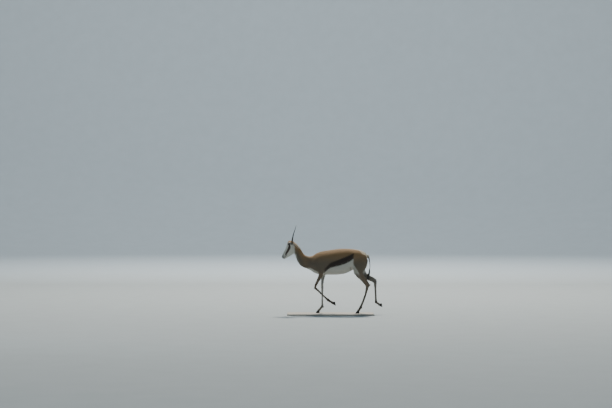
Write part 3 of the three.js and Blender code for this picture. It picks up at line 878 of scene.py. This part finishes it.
def trunk_colour(x, y, z, normals, outwards, on_thigh):
    """Cinnamon, greyed down the side by painted shade, the dark band, the white belly, the pale
    rump, and painted shade in the groin's fold.
    """
    forwards, upwards = -normals[:, 0], normals[:, 2]
    brown = cinnamon_back_shaded_side(z, upwards)
    top, white = along(BAND_TOP, x), white_below(x, y, outwards)
    paint = blend(brown, BAND, rise(z, top + 8, top - 8) * rise(x, *BAND_START))
    paint = blend(paint, WHITE, rise(z, white + 6, white - 7))
    thigh = blend(brown, WHITE, thigh_white(x, z, outwards, forwards))
    front = along(THIGH_FRONT, z) + 4
    on_thigh = np.maximum(rise(x, front - 6, front + 8), on_thigh * rise(z, 640, 600))
    paint = blend(paint, thigh, on_thigh)
    paint = blend(paint, CREAM, rump_patch(x, y, z))
    # Painted shade darkens the fold between the belly and the thigh
    fold_shade = swell(np.column_stack([x, z]), *GROIN_FOLD_SHADE)
    return blend(paint, SHADED_SIDE_BROWN, fold_shade * rise(np.abs(y), 10, 25))


print("white reaches up to z %d on the flank" % BAND_FOOT[-1][1])

# %% Neck and face
# In the head's frame s is the distance back from the muzzle's tip, and h the height
CHEEK = [(690, -462), (840, -470), (880, -506), (900, -524)]  # z and x, where the nape begins
STRIPE_MIDDLE = [(50, -10), (71, -2), (115, 5), (152, 13), (172, 24), (186, 38)]  # s, h
STRIPE_HALF = [(40, 5), (71, 10.5), (115, 14), (152, 16), (172, 16), (190, 11)]
TEMPLE = ((199, 31), (236, 4), 15, 1.0)


def stripe_share(s, h):
    """The dark stripe from the eye down to the corner of the mouth."""
    away, half = np.abs(h - along(STRIPE_MIDDLE, s)), along(STRIPE_HALF, s)
    return rise(away, half + 2.5, half - 2.5) * rise(s, 40, 58) * rise(s, 200, 186)


def neck_colour(x, z, forwards):
    """Greyer brown sides, which are painted shade, a warmer cinnamon nape and a paler throat."""
    paint = blend(even(SHADED_SIDE_BROWN, len(x)), CINNAMON, rise(forwards, 0.35, -0.55))
    throat = rise(forwards, 0.4, 0.85) * rise(z, 590, 700)
    return blend(paint, WHITE, throat * (0.55 + 0.4 * rise(z, 690, 740)))


def nose_share(s, y, h):
    """The bare pad: round the nostrils, between them, and down to the lip."""
    around_slits = rise(nostril_reach(s, y, h), 2.6, 1.7) * rise(s, 24, 18)
    middle = rise(np.abs(y), 7.5, 5) * rise(s, 13, 9) * rise(h, -17, -14) * rise(h, 14, 8)
    return np.maximum(around_slits, middle)


def face_colour(s, y, h, x, z, forwards):
    """White face, dark stripe, brown crown and dark nose."""
    aside = np.abs(y)
    paint = even(WHITE, len(s))
    paint = blend(paint, STRIPE, stripe_share(s, h) * rise(aside, 12, 22))
    crown = rise(s, 146, 182) * rise(h, 42, 58) * rise(aside, 47, 36)
    paint = blend(paint, CROWN, crown * 0.95)
    border = along(CHEEK, z)
    paint = blend(paint, neck_colour(x, z, forwards), rise(x, border - 7, border + 9))
    paint = blend(paint, CINNAMON, rise(s, 206, 222) * rise(h, 10, 36))
    temple = swell(np.column_stack([s, h]), *TEMPLE) * rise(s, 192, 200)
    paint = blend(paint, SHADED_SIDE_BROWN * 0.6, 0.85 * rise(temple, 0.2, 0.7) * rise(aside, 14, 24))
    paint = blend(paint, NOSE, 0.55 * rise(s, 52, 20) * rise(h, -17, -8))
    paint = blend(paint, NOSE, nose_share(s, y, h))
    lip = rise(np.abs(h - mouth_height(s)), 3.0, 1.2) * rise(s, 76, 62)
    return blend(paint, STRIPE, lip * 0.85)


print("the stripe is up to %d mm wide" % (2 * max(half for _, half in STRIPE_HALF)))

# %% Legs, ears and all parts together
EAR_CUP = np.array([-0.62, 0, -0.72])  # the way that the cups face
NECK_BORDER = (-290, -318)  # x, where the trunk's colours turn into the neck's
FORE_LOW, HIND_LOW = (545, 505), (525, 470)  # z, where the trunk's turn into the legs'
TAIL_FADE = (735, 680)
SIDES = np.array([-1.0 if "left" in name else 1.0 if "right" in name else 0.0 for name in FLESH])


def leg_colour(outwards, forwards, x, z, shank, hind):
    """Brown outside and in front, white inside and behind, with the inner white greyed by painted
    shade.
    """
    brown = rise(outwards + 0.4 * forwards, -0.3, 0.22)
    brown = brown * (1 - np.where(hind, leg_margin(x, z), 0))
    outer = np.where(shank[:, None], SHANK, LEG_BROWN)
    # The inner white is greyed, and on the hind legs mostly turned grey-brown, as painted shade
    shaded_inner = blend(even(WHITE * 0.66, len(z)), SHANK, np.where(hind, 0.78, 0.12))
    return blend(shaded_inner, outer, brown)


def ear_colour(normals):
    """Tan behind, white in the cup, with a darker rim."""
    facing = normals @ EAR_CUP
    paint = blend(even(EAR_BACK, len(normals)), WHITE, rise(facing, 0.15, 0.5))
    return blend(paint, SHADED_SIDE_BROWN * 0.7, np.exp(-((facing - 0.1) / 0.16) ** 2) * 0.6)


def markings(points, normals, owners):
    """The coat's colour at points of the frame, with the skin's normals and parts there."""
    x, y, z = measured(points).T
    s, across, h = in_head(points).T
    side = np.where(SIDES[owners] == 0, np.sign(y), SIDES[owners])
    outwards, forwards = normals[:, 1] * side, -normals[:, 0]
    fore, hind = is_part(owners, "foreleg"), is_part(owners, "hindleg")
    shank = is_part(owners, "cannon", "pastern")
    low = np.maximum(np.maximum(fore * rise(z, *FORE_LOW), hind * rise(z, *HIND_LOW)), shank)
    behind = is_part(owners, "hindleg", "cannon_hindleg", "pastern_hindleg")
    face = face_colour(s, across, h, x, z, forwards)
    # Darker down the tail: partly its dark lower hair, partly painted shade
    tail = blend(even(CREAM, len(x)), TAIL_DARK_AND_SHADE, rise(z, *TAIL_FADE))

    paint = trunk_colour(x, y, z, normals, outwards, hind.astype(float))
    paint = blend(paint, neck_colour(x, z, forwards), rise(x, *NECK_BORDER))
    paint = np.where(is_part(owners, "head")[:, None], face, paint)
    paint = blend(paint, leg_colour(outwards, forwards, x, z, shank, behind), low)
    paint = blend(paint, SHANK * 0.45, is_part(owners, "pastern") * 0.6)
    paint = np.where(is_part(owners, "ear")[:, None], ear_colour(normals), paint)
    return np.where(is_part(owners, "tail")[:, None], tail, paint)


print("sides:", int((SIDES != 0).sum()), "solids are left or right")

# %% Painting the skin
def paint_on(mesh, name, values):
    """Stores a colour on every vertex of a mesh."""
    layer = mesh.color_attributes.new(name, "FLOAT_COLOR", "POINT")
    layer.data.foreach_set("color", np.column_stack([values, np.ones(len(values))]).ravel())


owners = parts_of(points)
for part in ("neck", "torso", "head", "foreleg", "hindleg"):
    print(part, "vertices:", int(is_part(owners, part).sum()))
paint_on(skin.data, "coat", spread(markings(points, normals, owners), 1))

# %% [markdown]
# ## The skin's finish
# Between the tufts the skin shows as more hair, too short and flat to stand out. A fine noise
# drawn out along the body makes it look brushed, and a slow one keeps the colour from being
# even, as sun and dust do.

# %% Skin finish
coat_finish = Finish("short_coat", roughness=0.8, sheen_weight=0.12)
brushed = coat_finish.noise(700.0, 3.0, coat_finish.stretch((0.35, 1, 1)))
cloud = coat_finish.noise(9.0, 3.0)
coat_finish.shaded(coat_finish.attribute("coat"), 0.8 + 0.28 * brushed + 0.14 * cloud)
coat_finish.set("Roughness", 0.72 + 0.2 * brushed)
coat_finish.bump(brushed, 0.5, 0.0008)
skin.data.materials.append(coat_finish.material)
skin.data.shade_smooth()
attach(skin, "root")
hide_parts(*FLESH)
print("skin:", len(skin.data.polygons), "faces")

# %% [markdown]
# ## An unwrap for the coat
# For a bake of the colours into pictures, each tuft needs its own small patch of the picture. So
# the skin is unwrapped once, and every tuft takes the place of its root on that unwrap.

# %% Unwrap
def unwrap(thing):
    layer = thing.data.uv_layers.new(name="OFBake")
    thing.data.uv_layers.active = layer
    bpy.context.view_layer.objects.active = thing
    thing.select_set(True)
    bpy.ops.object.mode_set(mode="EDIT")
    bpy.ops.mesh.select_all(action="SELECT")
    bpy.ops.uv.smart_project(angle_limit=math.radians(66), island_margin=0.002)
    bpy.ops.object.mode_set(mode="OBJECT")
    thing.select_set(False)


unwrap(skin)
print("unwrapped")

# %% [markdown]
# ## The lie of the coat
# Hair on the trunk points to the tail and a little down, on a leg to the hoof, on the face back
# from the nose, on an ear to its tip. The directions come from the middles of neighbouring
# solids, and are softened so that one lie turns into the next. Down the throat the hair keeps
# the neck's own way, or it would whirl where the head's lie meets it.

# %% Lie
FIXED_LIES = {"neck": (0.62, 0, -0.78), "torso": (0.94, 0, -0.34), "tail": (0.1, 0, -1)}
FACE_LIE = Vector((1, 0, 0.05))  # in the head's frame
LEG_LEAN = Vector((0.35, 0, -0.2))  # on an upper leg the hair also leans back
WAVES = np.array([31.0, 17, 23]), np.array([-19.0, 29, 41])
WAVE_TURN = 0.07


def towards(start, end):
    return (centre_of(end) - centre_of(start)).normalized()


def lie_of(name):
    """The way that the hair of a solid points."""
    kind, _, rest = name.partition("_")
    if kind == "head":
        return head_axes @ FACE_LIE
    if kind == "ear":
        low, high = bounds_of[name]
        size = high - low
        return Vector((size.x, size.y * (-1 if "left" in name else 1), -size.z)).normalized()
    if kind == "cannon":
        return towards(name, "pastern_" + rest)
    if kind == "pastern":
        return towards(name, f"hoof_{rest}_outer")
    if kind in ("foreleg", "hindleg"):
        return (towards(name, "cannon_" + name) + LEG_LEAN).normalized()
    return Vector(FIXED_LIES[kind]).normalized()


lies_by_part = np.array([lie_of(name) for name in FLESH])
lie = spread(lies_by_part[owners], 14)
on_spine = (normals[:, 2] > 0.8)[:, None] & is_part(owners, "torso")[:, None]
lie = np.where(on_spine, np.array([1.0, 0, 0]), lie)
down_throat = (rise(-normals[:, 0], 0.3, 0.7) * is_part(owners, "neck"))[:, None]
lie = lie + (lies_by_part[FLESH.index("neck")] - lie) * down_throat
wave = np.sin(points @ WAVES[0]) + np.sin(points @ WAVES[1] + 1.3)
lie = lie + np.cross(normals, lie) * (WAVE_TURN * wave)[:, None]
print("lies for", len(lies_by_part), "parts")

# %% [markdown]
# ## Tufts
# A tuft is a thin spike whose flat side follows the skin: a three-cornered root sunk in the
# skin, and a tip that lifts off it. Short sleek hair needs no more than that, four triangles.
# Long hair has one more corner ring in the middle, so that it can bend. Arrays make thousands
# at once, each a little different in length, turn and shade. Real hairs are far finer than a
# tuft, and together they take light as the skin under them does. So each tuft is shaded with
# the skin's normal, only slightly rounded, and doesn't glint like a chip of glass.

# %% Spikes as arrays
CORNERS = ((1, 0), (0, 1), (-1, 0))  # across and up


def unit(vectors):
    return vectors / np.linalg.norm(vectors, axis=1, keepdims=True).clip(1e-9)


def spike_faces(rings):
    """The triangles of a closed spike with this many three-cornered rings and a tip."""
    faces = [[0, 2, 1]]
    for ring in range(rings - 1):
        for c in range(3):
            a, b = 3 * ring + c, 3 * ring + (c + 1) % 3
            faces += [[a, b, b + 3], [a, b + 3, a + 3]]
    last, tip = 3 * rings - 3, 3 * rings
    return np.array(faces + [[last + c, last + (c + 1) % 3, tip] for c in range(3)])


def mesh_from(name, spikes, faces, uv):
    """A mesh of many spikes: rows of corners, the faces of one, and places on the unwrap."""
    count, step = spikes.shape[:2]
    triangles = (faces[None] + np.arange(count)[:, None, None] * step).reshape(-1, 3)
    mesh = bpy.data.meshes.new(name)
    mesh.vertices.add(count * step)
    mesh.vertices.foreach_set("co", spikes.astype(np.float32).ravel())
    mesh.loops.add(3 * len(triangles))
    mesh.loops.foreach_set("vertex_index", triangles.astype(np.int32).ravel())
    mesh.polygons.add(len(triangles))
    mesh.polygons.foreach_set("loop_start", np.arange(0, 3 * len(triangles), 3, dtype=np.int32))
    mesh.update(calc_edges=True)
    layer = mesh.uv_layers.new(name="OFBake")
    places = uv.reshape(-1, 2)[triangles.ravel()]
    layer.data.foreach_set("uv", places.astype(np.float32).ravel())
    return mesh


print("a short tuft has", len(spike_faces(1)), "triangles, a bent one", len(spike_faces(2)))

# %% Making tufts
draw = np.random.default_rng(11)
PATCH = 0.003  # a tuft's size on the unwrap
ROUNDNESS = 0.35  # how far a tuft's shading turns from one edge to the other
THICKNESS = 0.14  # at the root, as a share of the width
NARROWING = 0.3  # the share of the width that is lost along a tuft
STRAY = 0.14  # how far tufts turn from the lie
SHORTEST, LONGEST = 0.72, 1.28
SHADE_SPREAD, DARKEST, PALEST = 0.06, 0.75, 1.25
# The darker root is painted shade where the hair crowds
ROOT_PAINTED_SHADE, TIP_SHADE = 0.92, 1.04


def tufts(name, root, normal, way, sizes, paint, uv, rings=1):
    """A joined mesh of tufts. Sizes are rows of length, width and lift in millimetres."""
    count = len(root)
    way = unit(way - normal * (way * normal).sum(1, keepdims=True))
    beside = np.cross(normal, way)
    way = unit(way + beside * draw.normal(0, STRAY, (count, 1)))
    beside = np.cross(normal, way)
    length, width, lift = (sizes[:, [k]] * MM * draw.uniform(SHORTEST, LONGEST, (count, 1))
                           for k in range(3))
    sunk = 0.2 * MM + 0.3 * lift
    spikes = np.empty((count, 3 * rings + 1, 3))
    facing = np.empty_like(spikes)
    for ring in range(rings):
        t = ring / 2
        middle = root + way * (t * length) + normal * (t * 1.5 * lift - (1 - 2 * t) * sunk)
        for c, (a, b) in enumerate(CORNERS):
            offset = beside * (a * 0.5 * (1 - NARROWING * t)) + normal * (b * THICKNESS * (1 - t))
            spikes[:, 3 * ring + c] = middle + offset * width
            facing[:, 3 * ring + c] = normal + beside * (a * ROUNDNESS)
    spikes[:, -1] = root + way * length + normal * lift
    facing[:, -1] = normal + way * 0.1
    faces = spike_faces(rings)
    patch = np.array([[-0.4, 0], [0, 0.2], [0.4, 0]] * rings + [[0, 1]]) * PATCH
    mesh = mesh_from(name, spikes, faces, uv[:, None, :] + patch[None])

    shade = draw.normal(1.0, SHADE_SPREAD, (count, 1, 1)).clip(DARKEST, PALEST)
    along_it = np.linspace(ROOT_PAINTED_SHADE, TIP_SHADE, spikes.shape[1])[None, :, None]
    paint_on(mesh, "coat", (paint[:, None, :] * shade * along_it).reshape(-1, 3).clip(0, 1))

    # The underside and the root's cap keep a normal that points into the skin
    seen = facing[:, faces]
    under = (faces % 3 != 1).all(1) | (np.arange(len(faces)) == 0)
    seen[:, under] = -normal[:, None, None]
    mesh.normals_split_custom_set(unit(seen.reshape(-1, 3)).tolist())
    return mesh


print("tufts are %.0f%% to %.0f%% of the hair's length" % (100 * SHORTEST, 100 * LONGEST))


# %% [markdown]
# ## Where the tufts grow
# Roots are drawn at random over the skin's triangles, more of them where the hair is short and
# fine. The trunk's hair is about twelve millimetres long, the shins' half of that, and on the
# muzzle it is hardly three. It is longer along the fold of the rump, in the cup of the ear and
# above the hooves.

# %% Hair sizes
HAIR = {  # length, width and lift in millimetres
    "torso": (13, 1.75, 1.5),
    "neck": (13, 1.75, 1.6),
    "foreleg": (10, 1.55, 1.1),
    "hindleg": (10.5, 1.6, 1.2),
    "head": (6, 1.05, 0.4),
    "ear": (6.5, 1.1, 0.5),
    "cannon": (7, 1.25, 0.55),
    "pastern": (7, 1.25, 0.6),
    "tail": (11, 1.4, 1.1),
}
hair = np.zeros((len(points), 3))
for part, sizes in HAIR.items():
    hair[is_part(owners, part)] = sizes
hair = spread(hair, 6)
back, across, up = in_head(points).T
short = np.where(is_part(owners, "head"), 1 - 0.5 * rise(back, 110, 25), 1.0)
short = short * (1 - 0.45 * rise(to_eyes(points), 42, 20))
hair = hair * short[:, None]


def lengthen(share, length, lift):
    """Adds to the hair's length and lift where the share is above 0."""
    hair[:, 0] += length * share
    hair[:, 2] += lift * share


hooves = merged_copy([n for n in nodes if n.startswith(("hoof", "dewclaw"))])
hoof_tree = BVHTree.FromBMesh(hooves)
near_ground = np.flatnonzero(is_part(owners, "pastern", "cannon"))
to_hoof = np.full(len(points), 1.0)
to_hoof[near_ground] = [hoof_tree.find_nearest(Vector(points[k]))[3] for k in near_ground]
hooves.free()
lengthen(rise(to_hoof, 14 * MM, 3 * MM), 5, 0.7)
x, y, _ = measured(points).T
lengthen(rise(x, FOLD_START, 240) * rise(np.abs(y), 22, 8) * (normals[:, 2] > 0.5), 9, 0.9)
lengthen(is_part(owners, "ear") * rise(normals @ EAR_CUP, 0.2, 0.6), 5, 0.8)
print("hair from %.1f to %.1f mm" % (hair[:, 0].min(), hair[:, 0].max()))

# %% Roots
triangles = array_of(skin.data.loops, "vertex_index", 1, int).reshape(-1, 3)
skin_uv = array_of(skin.data.uv_layers["OFBake"].data, "uv", 2).reshape(-1, 3, 2)
corner = points[triangles]
edge_one, edge_two = corner[:, 1] - corner[:, 0], corner[:, 2] - corner[:, 0]
area = np.linalg.norm(np.cross(edge_one, edge_two), axis=1) / 2
nose_pad = (nose_share(back, across, up) > 0.5) & is_part(owners, "head")
bald = nose_pad | (to_eyes(points) < EYE_RADIUS + 1.0)
BORDER_BLUR = 1.5  # millimetres that a tuft's colour may come from beside its root


def roots(chosen, count):
    """Random places on the chosen triangles, with what the skin holds there."""
    cover = hair[triangles[chosen], 0].mean(1) * hair[triangles[chosen], 1].mean(1)
    share = area[chosen] / cover.clip(0.5)
    faces = chosen[draw.choice(len(chosen), count, p=share / share.sum())]
    weights = draw.dirichlet((1, 1, 1), count)[:, :, None]
    picked = triangles[faces]
    at_uv = (skin_uv[faces] * weights).sum(1)
    point, normal, way, sizes = ((field[picked] * weights).sum(1)
                                 for field in (points, normals, lie, hair))
    return point, unit(normal), way, sizes, owners[picked[:, 0]], at_uv


def grow(name, mask, count, rings=1):
    """One piece of the coat, over the triangles whose first corner is in the mask."""
    chosen = np.flatnonzero(mask[triangles[:, 0]] & ~bald[triangles].any(1))
    root, normal, way, sizes, owner, uv = roots(chosen, count)
    blurred = root + draw.normal(0, BORDER_BLUR * MM, root.shape)
    mesh = tufts(name, root, normal, way, sizes, markings(blurred, normal, owner), uv, rings)
    piece = new_object(name, mesh)
    mesh.materials.append(tuft_finish.material)
    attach(piece, "root")
    print(name, len(mesh.polygons), "triangles")


print("skin area %.2f square metres, bald points %d" % (area.sum(), bald.sum()))


# %% [markdown]
# ## The tufts' finish
# The tufts carry the skin's colours, a little darker at the root, which is painted shade where the
# hair crowds, and paler at the tip. Hair is not shiny on a springbok, but its edge catches light,
# which a touch of sheen gives.

# %% Growing the coat
tuft_finish = Finish("tufts", roughness=0.7, sheen_weight=0.2)
tuft_finish.shaded(tuft_finish.attribute("coat"), 0.91 + 0.18 * tuft_finish.noise(160.0, 2.0))

left = points[:, 1] < 0
trunk = is_part(owners, "torso")
ahead = points[:, 0] < place(80, 0, 0).x
upper_leg = is_part(owners, "foreleg", "hindleg")
grow("coat_shoulder_left", trunk & left & ahead, 35000)
grow("coat_shoulder_right", trunk & ~left & ahead, 35000)
grow("coat_flank_left", trunk & left & ~ahead, 30000)
grow("coat_flank_right", trunk & ~left & ~ahead, 30000)
grow("coat_neck", is_part(owners, "neck"), 30000)
grow("coat_head", is_part(owners, "head"), 45000)
grow("coat_ears", is_part(owners, "ear"), 7000, rings=2)
grow("coat_legs_left", upper_leg & left, 34000)
grow("coat_legs_right", upper_leg & ~left, 34000)
grow("coat_shanks", is_part(owners, "cannon", "pastern"), 33000)
grow("coat_tail", is_part(owners, "tail"), 1500, rings=2)

# %% [markdown]
# ## Eyes
# An antelope's eye is large, dark and wet, with a wide level pupil. A ball takes its colours
# from the angle between a point and the gaze, kept on the mesh, and a clear coat makes it shine.

# %% Eyes
IRIS = pigment(54, 31, 19)
PUPIL = pigment(6, 6, 8)
EDGE = pigment(20, 14, 12)
PUPIL_HALF = (6.2, 3.2)  # millimetres back and up
IRIS_RADII = (10.5, 13)  # where the edge begins and is full
EYES = ((-1, "eye_left"), (1, "eye_right"))
eye_finish = Finish("wet_eye", roughness=0.25, specular_ior_level=0.15, coat_weight=0.7,
                    coat_roughness=0.03)
eye_finish.set("Base Color", eye_finish.attribute("gaze"))


def eyeball(name, side):
    ball = bmesh.new()
    bmesh.ops.create_uvsphere(ball, u_segments=48, v_segments=28, radius=EYE_RADIUS * MM)
    bmesh.ops.translate(ball, verts=ball.verts, vec=eye_centres[side])
    mesh = bpy.data.meshes.new(name)
    ball.to_mesh(mesh)
    out = array_of(mesh.vertices, "co", 3) - np.array(eye_centres[side])
    back, _, up = (out @ np.array(eye_axes(side)) / MM).T
    level = (back ** 2 + up ** 2) ** 0.5
    pupil = ((back / PUPIL_HALF[0]) ** 2 + (up / PUPIL_HALF[1]) ** 2) ** 0.5
    shades = blend(even(IRIS, len(out)), EDGE, rise(level, *IRIS_RADII))
    paint_on(mesh, "gaze", blend(shades, PUPIL, rise(pupil, 1.15, 0.85)))
    mesh.shade_smooth()
    mesh.materials.append(eye_finish.material)
    piece = new_object(name + "_wet", mesh)
    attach(piece, "root")
    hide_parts(name)
    print(name, len(mesh.polygons), "faces")


for side, name in EYES:
    eyeball(name, side)

# %% [markdown]
# ## Lid edges and lashes
# The bare edge of each lid is a thin dark roll that follows the opening on the ball. A curve
# with a round bevel makes it, thicker above than below. Lashes grow from the upper roll.

# %% Lids
LID_STEPS = 44
LID_ROLL = 1.05  # the roll's radius in millimetres
bare_finish = Finish("bare_skin", roughness=0.42)
bare_finish.two_tones(bare_finish.noise(300.0), (34, 28, 26), (52, 44, 40))
bare_finish.bump(bare_finish.noise(900.0), 0.3, 0.0004)


def tube(name, places, radii, depth, roundness, closed=False):
    """A round tube through places of the frame, with a share of its depth at each."""
    line = bpy.data.curves.new(name, "CURVE")
    line.dimensions = "3D"
    line.bevel_depth = depth * MM
    line.bevel_resolution = roundness
    line.use_fill_caps = not closed
    spline = line.splines.new("POLY")
    spline.points.add(len(places) - 1)
    spline.use_cyclic_u = closed
    for knot, spot, radius in zip(spline.points, places, radii):
        knot.co = (*spot, 1)
        knot.radius = radius
    carrier = new_object(name + "_line", line)
    bpy.context.view_layer.update()
    depsgraph = bpy.context.evaluated_depsgraph_get()
    mesh = bpy.data.meshes.new_from_object(carrier.evaluated_get(depsgraph))
    bpy.data.objects.remove(carrier)
    mesh.materials.clear()
    mesh.shade_smooth()
    return new_object(name, mesh)


def on_ball(side, back, up, radius):
    """A place on a ball round the eye, from its shares back and up across the gaze."""
    out = math.sqrt(max(radius ** 2 - back ** 2 - up ** 2, 1.0))
    return eye_centres[side] + eye_axes(side) @ Vector((back, out, up)) * MM


def lid_rolls(name, side):
    angles = [2 * math.pi * k / LID_STEPS for k in range(LID_STEPS)]
    rim = [on_ball(side, *almond_edge(angle), EYE_RADIUS + 0.25) for angle in angles]
    radii = [1.0 + 0.25 * math.sin(angle) for angle in angles]
    piece = tube(name, rim, radii, LID_ROLL, 4, closed=True)
    piece.data.materials.append(bare_finish.material)
    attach(piece, "root")
    print(name, len(piece.data.polygons), "faces")


for side, name in ((-1, "lids_left"), (1, "lids_right")):
    lid_rolls(name, side)

# %% Lashes
LASHES = 34
LASH_SIZE = [5.2, 0.4, 0.0]
LASH_ARC = (0.12, 0.9)  # half turns from the back corner


def lashes(name, side):
    """Short dark hairs along the upper lid, which point out and down."""
    angles = np.linspace(*LASH_ARC, LASHES) * math.pi
    root = np.array([on_ball(side, *almond_edge(a), EYE_RADIUS + 1.2) for a in angles])
    axes = np.array(eye_axes(side))
    outwards = unit(root - np.array(eye_centres[side]))
    way = outwards * 0.85 + axes[:, 2] * 0.1 + axes[:, 0] * (0.5 * np.cos(angles))[:, None]
    upward = unit(np.cross(np.cross(way, axes[:, 2]), way))
    sizes = even(LASH_SIZE, LASHES)
    paint = even(pigment(26, 22, 20), LASHES)
    uv = np.column_stack([0.02 + 0.9 * angles / math.pi, np.full(LASHES, 0.5)])
    mesh = tufts(name, root, upward, way, sizes, paint, uv, rings=2)
    mesh.materials.append(tuft_finish.material)
    piece = new_object(name, mesh)
    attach(piece, "root")
    print(name, len(mesh.polygons), "triangles")


lashes("lashes_left", -1)
lashes("lashes_right", 1)

# %% [markdown]
# ## Horns
# A ewe's horns are slim and ringed over their lower two thirds. A curve can be given a
# different radius at each of its points, so one swept curve holds both the taper and the
# rings, which are crowded and strong at the base and fade towards the smooth tip.

# %% The horns' line
HORN_LINE = [(-502, 21, 874), (-496, 23, 915), (-487, 28, 965), (-473, 33, 1015), (-458, 33, 1058),
             (-448, 28, 1100)]
HORN_RADII = (11.2, 1.5)
RINGS = 13
RINGED = 0.68  # share of the length that has rings
RING_HEIGHT = 0.11  # of the radius, at the base
HORN_STEPS = 190


def through(stations, t):
    """A point on a smooth line through the stations, at a share of its length."""
    knots = [Vector(p) for p in stations]
    knots = [2 * knots[0] - knots[1]] + knots + [2 * knots[-1] - knots[-2]]
    span = min(int(t * (len(stations) - 1)), len(stations) - 2)
    u = t * (len(stations) - 1) - span
    a, b, c, d = knots[span:span + 4]
    square, cube = 2 * a - 5 * b + 4 * c - d, 3 * b - 3 * c + d - a
    return 0.5 * ((2 * b) + (c - a) * u + square * u ** 2 + cube * u ** 3)


def horn_radius(t):
    """The taper, with sharp-crested rings that lie closer together near the base."""
    plain = HORN_RADII[0] + (HORN_RADII[1] - HORN_RADII[0]) * t ** 0.92
    turns = RINGS * (t / RINGED) ** 0.85
    crest = abs(math.cos(math.pi * turns)) ** 1.6
    height = RING_HEIGHT * (1 - t / RINGED) ** 0.5 if t < RINGED else 0
    return plain * (1 - 0.45 * height + height * crest)


print("horn radius from %.1f to %.1f mm" % (horn_radius(0), horn_radius(1)))

# %% Horns
horn_finish = Finish("horn", coat_weight=0.08)
fibre = horn_finish.noise(240.0, 5.0, horn_finish.stretch((1, 1, 0.1)))
worn_spots = horn_finish.noise(60.0, 3.0)
horn_finish.two_tones(fibre * 0.75 + worn_spots * 0.35, (22, 19, 18), (70, 59, 50))
horn_finish.set("Roughness", 0.42 + 0.3 * fibre)
horn_finish.bump(fibre + 0.4 * worn_spots, 0.5, 0.0008)
shares = [k / HORN_STEPS for k in range(HORN_STEPS + 1)]
for side, name in ((-1, "horn_left"), (1, "horn_right")):
    stations = [(x, side * y, z) for x, y, z in HORN_LINE]
    middle = [place(*through(stations, t)) for t in shares]
    piece = tube(name + "_ringed", middle, [horn_radius(t) for t in shares], 1, 10)
    piece.data.materials.append(horn_finish.material)
    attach(piece, "root")
    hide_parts(name)
    print(name, len(piece.data.polygons), "faces")

# %% [markdown]
# ## Hooves
# Each foot has two narrow claws and two small dewclaws of dark horn. Their edges are softly
# worn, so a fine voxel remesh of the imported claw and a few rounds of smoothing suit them.

# %% Hooves
WORN = {"hoof": (1.3, 4), "dewclaw": (0.7, 60)}  # voxel in millimetres, rounds of smoothing
hoof_finish = Finish("hoof", coat_weight=0.15)
growth = hoof_finish.noise(120.0, 3.0, hoof_finish.stretch((0.4, 0.4, 3)))
hoof_finish.two_tones(growth, (24, 21, 20), (50, 44, 39))
hoof_finish.set("Roughness", 0.42 + 0.3 * growth)
hoof_finish.bump(growth, 0.35, 0.0006)


def worn(name, voxel, rounds):
    """A solid with softly worn edges."""
    shape = merged_copy([name])
    mesh = bpy.data.meshes.new(name + "_worn")
    shape.to_mesh(mesh)
    piece = new_object(name + "_worn", mesh)
    modifier(piece, "REMESH", mode="VOXEL", voxel_size=voxel * MM, adaptivity=0)
    modifier(piece, "SMOOTH", factor=0.5, iterations=rounds)
    settle(piece)
    piece.data.materials.clear()
    piece.data.materials.append(hoof_finish.material)
    piece.data.shade_smooth()
    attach(piece, "root")
    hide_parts(name)


claws = [name for name in sorted(nodes) if name.split("_")[0] in WORN]
for name in claws:
    worn(name, *WORN[name.split("_")[0]])
print("claws:", len(claws))

# %% [markdown]
# ## The tail's tuft
# The tail ends in a brush of long black hair. Each lock is made as the tufts are, but longer
# and in five steps, so that it can leave the tail, hang and close in again at the tip.

# %% Tail tuft
BRUSH_CORE = [(471, 560), (470, 540), (461, 510), (455, 485), (451, 456)]  # x, z down the tail
LOCKS = 850
LOCK_RINGS = 5
LOCK_WIDTHS = (0.7, 1.1, 1.15, 0.95, 0.65)
LOCK_LENGTHS = (46, 66)  # at the top of the brush
FLARE = (3, 13)  # how far a lock swings out from the core
BRUSH_BLACK = pigment(32, 27, 24)


def lock_brush(name):
    """Long locks that leave the tail's core, swell out and close in again at the end."""
    share = draw.uniform(0, 1, LOCKS) ** 0.75
    steps = np.linspace(0, 1, len(BRUSH_CORE))
    core_x = np.interp(share, steps, [p[0] for p in BRUSH_CORE])
    core_z = np.interp(share, steps, [p[1] for p in BRUSH_CORE])
    none = np.zeros(LOCKS)
    angle = draw.uniform(0, 2 * math.pi, LOCKS)
    out = np.column_stack([np.cos(angle), np.sin(angle), none])
    start = np.column_stack([core_x, none, core_z]) + out * (3.2 - 1.4 * share)[:, None]
    length = draw.uniform(*LOCK_LENGTHS, LOCKS) * (1 - 0.6 * share) + 12
    flare = draw.uniform(*FLARE, LOCKS) * (0.45 + 0.55 * rise(share, 0.2, 0.6))
    lean = -0.1 + 0.06 * share
    rows = []
    for t in (k / LOCK_RINGS for k in range(LOCK_RINGS + 1)):
        drift = out * (flare * math.sin(math.pi * 0.8 * t ** 0.8))[:, None]
        rows.append(start + drift + np.column_stack([lean * length * t, none, -length * t]))
    beside = np.cross(out, [0, 0, 1.0])
    corners = [row + (beside * a + out * (0.5 * b)) * wide
               for row, wide in zip(rows, LOCK_WIDTHS) for a, b in CORNERS]
    spikes = np.array(place(0, 0, 0)) + np.stack(corners + [rows[-1]], axis=1) * MM
    step = spikes.shape[1]
    spot = np.column_stack([angle / (2 * math.pi), share])[:, None, :] * 0.97
    uv = spot + np.linspace(0, PATCH, step)[None, :, None]
    mesh = mesh_from(name, spikes, spike_faces(LOCK_RINGS)[:, ::-1], uv)
    tone = BRUSH_BLACK * draw.uniform(0.55, 1.7, (LOCKS, 1))
    paint_on(mesh, "coat", np.repeat(tone, step, axis=0))
    return mesh


brush_mesh = lock_brush("tail_brush")
brush_mesh.materials.append(tuft_finish.material)
brush = new_object("tail_brush", brush_mesh)
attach(brush, "root")
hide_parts("tail_tuft")
print("tail brush:", len(brush_mesh.polygons), "triangles")
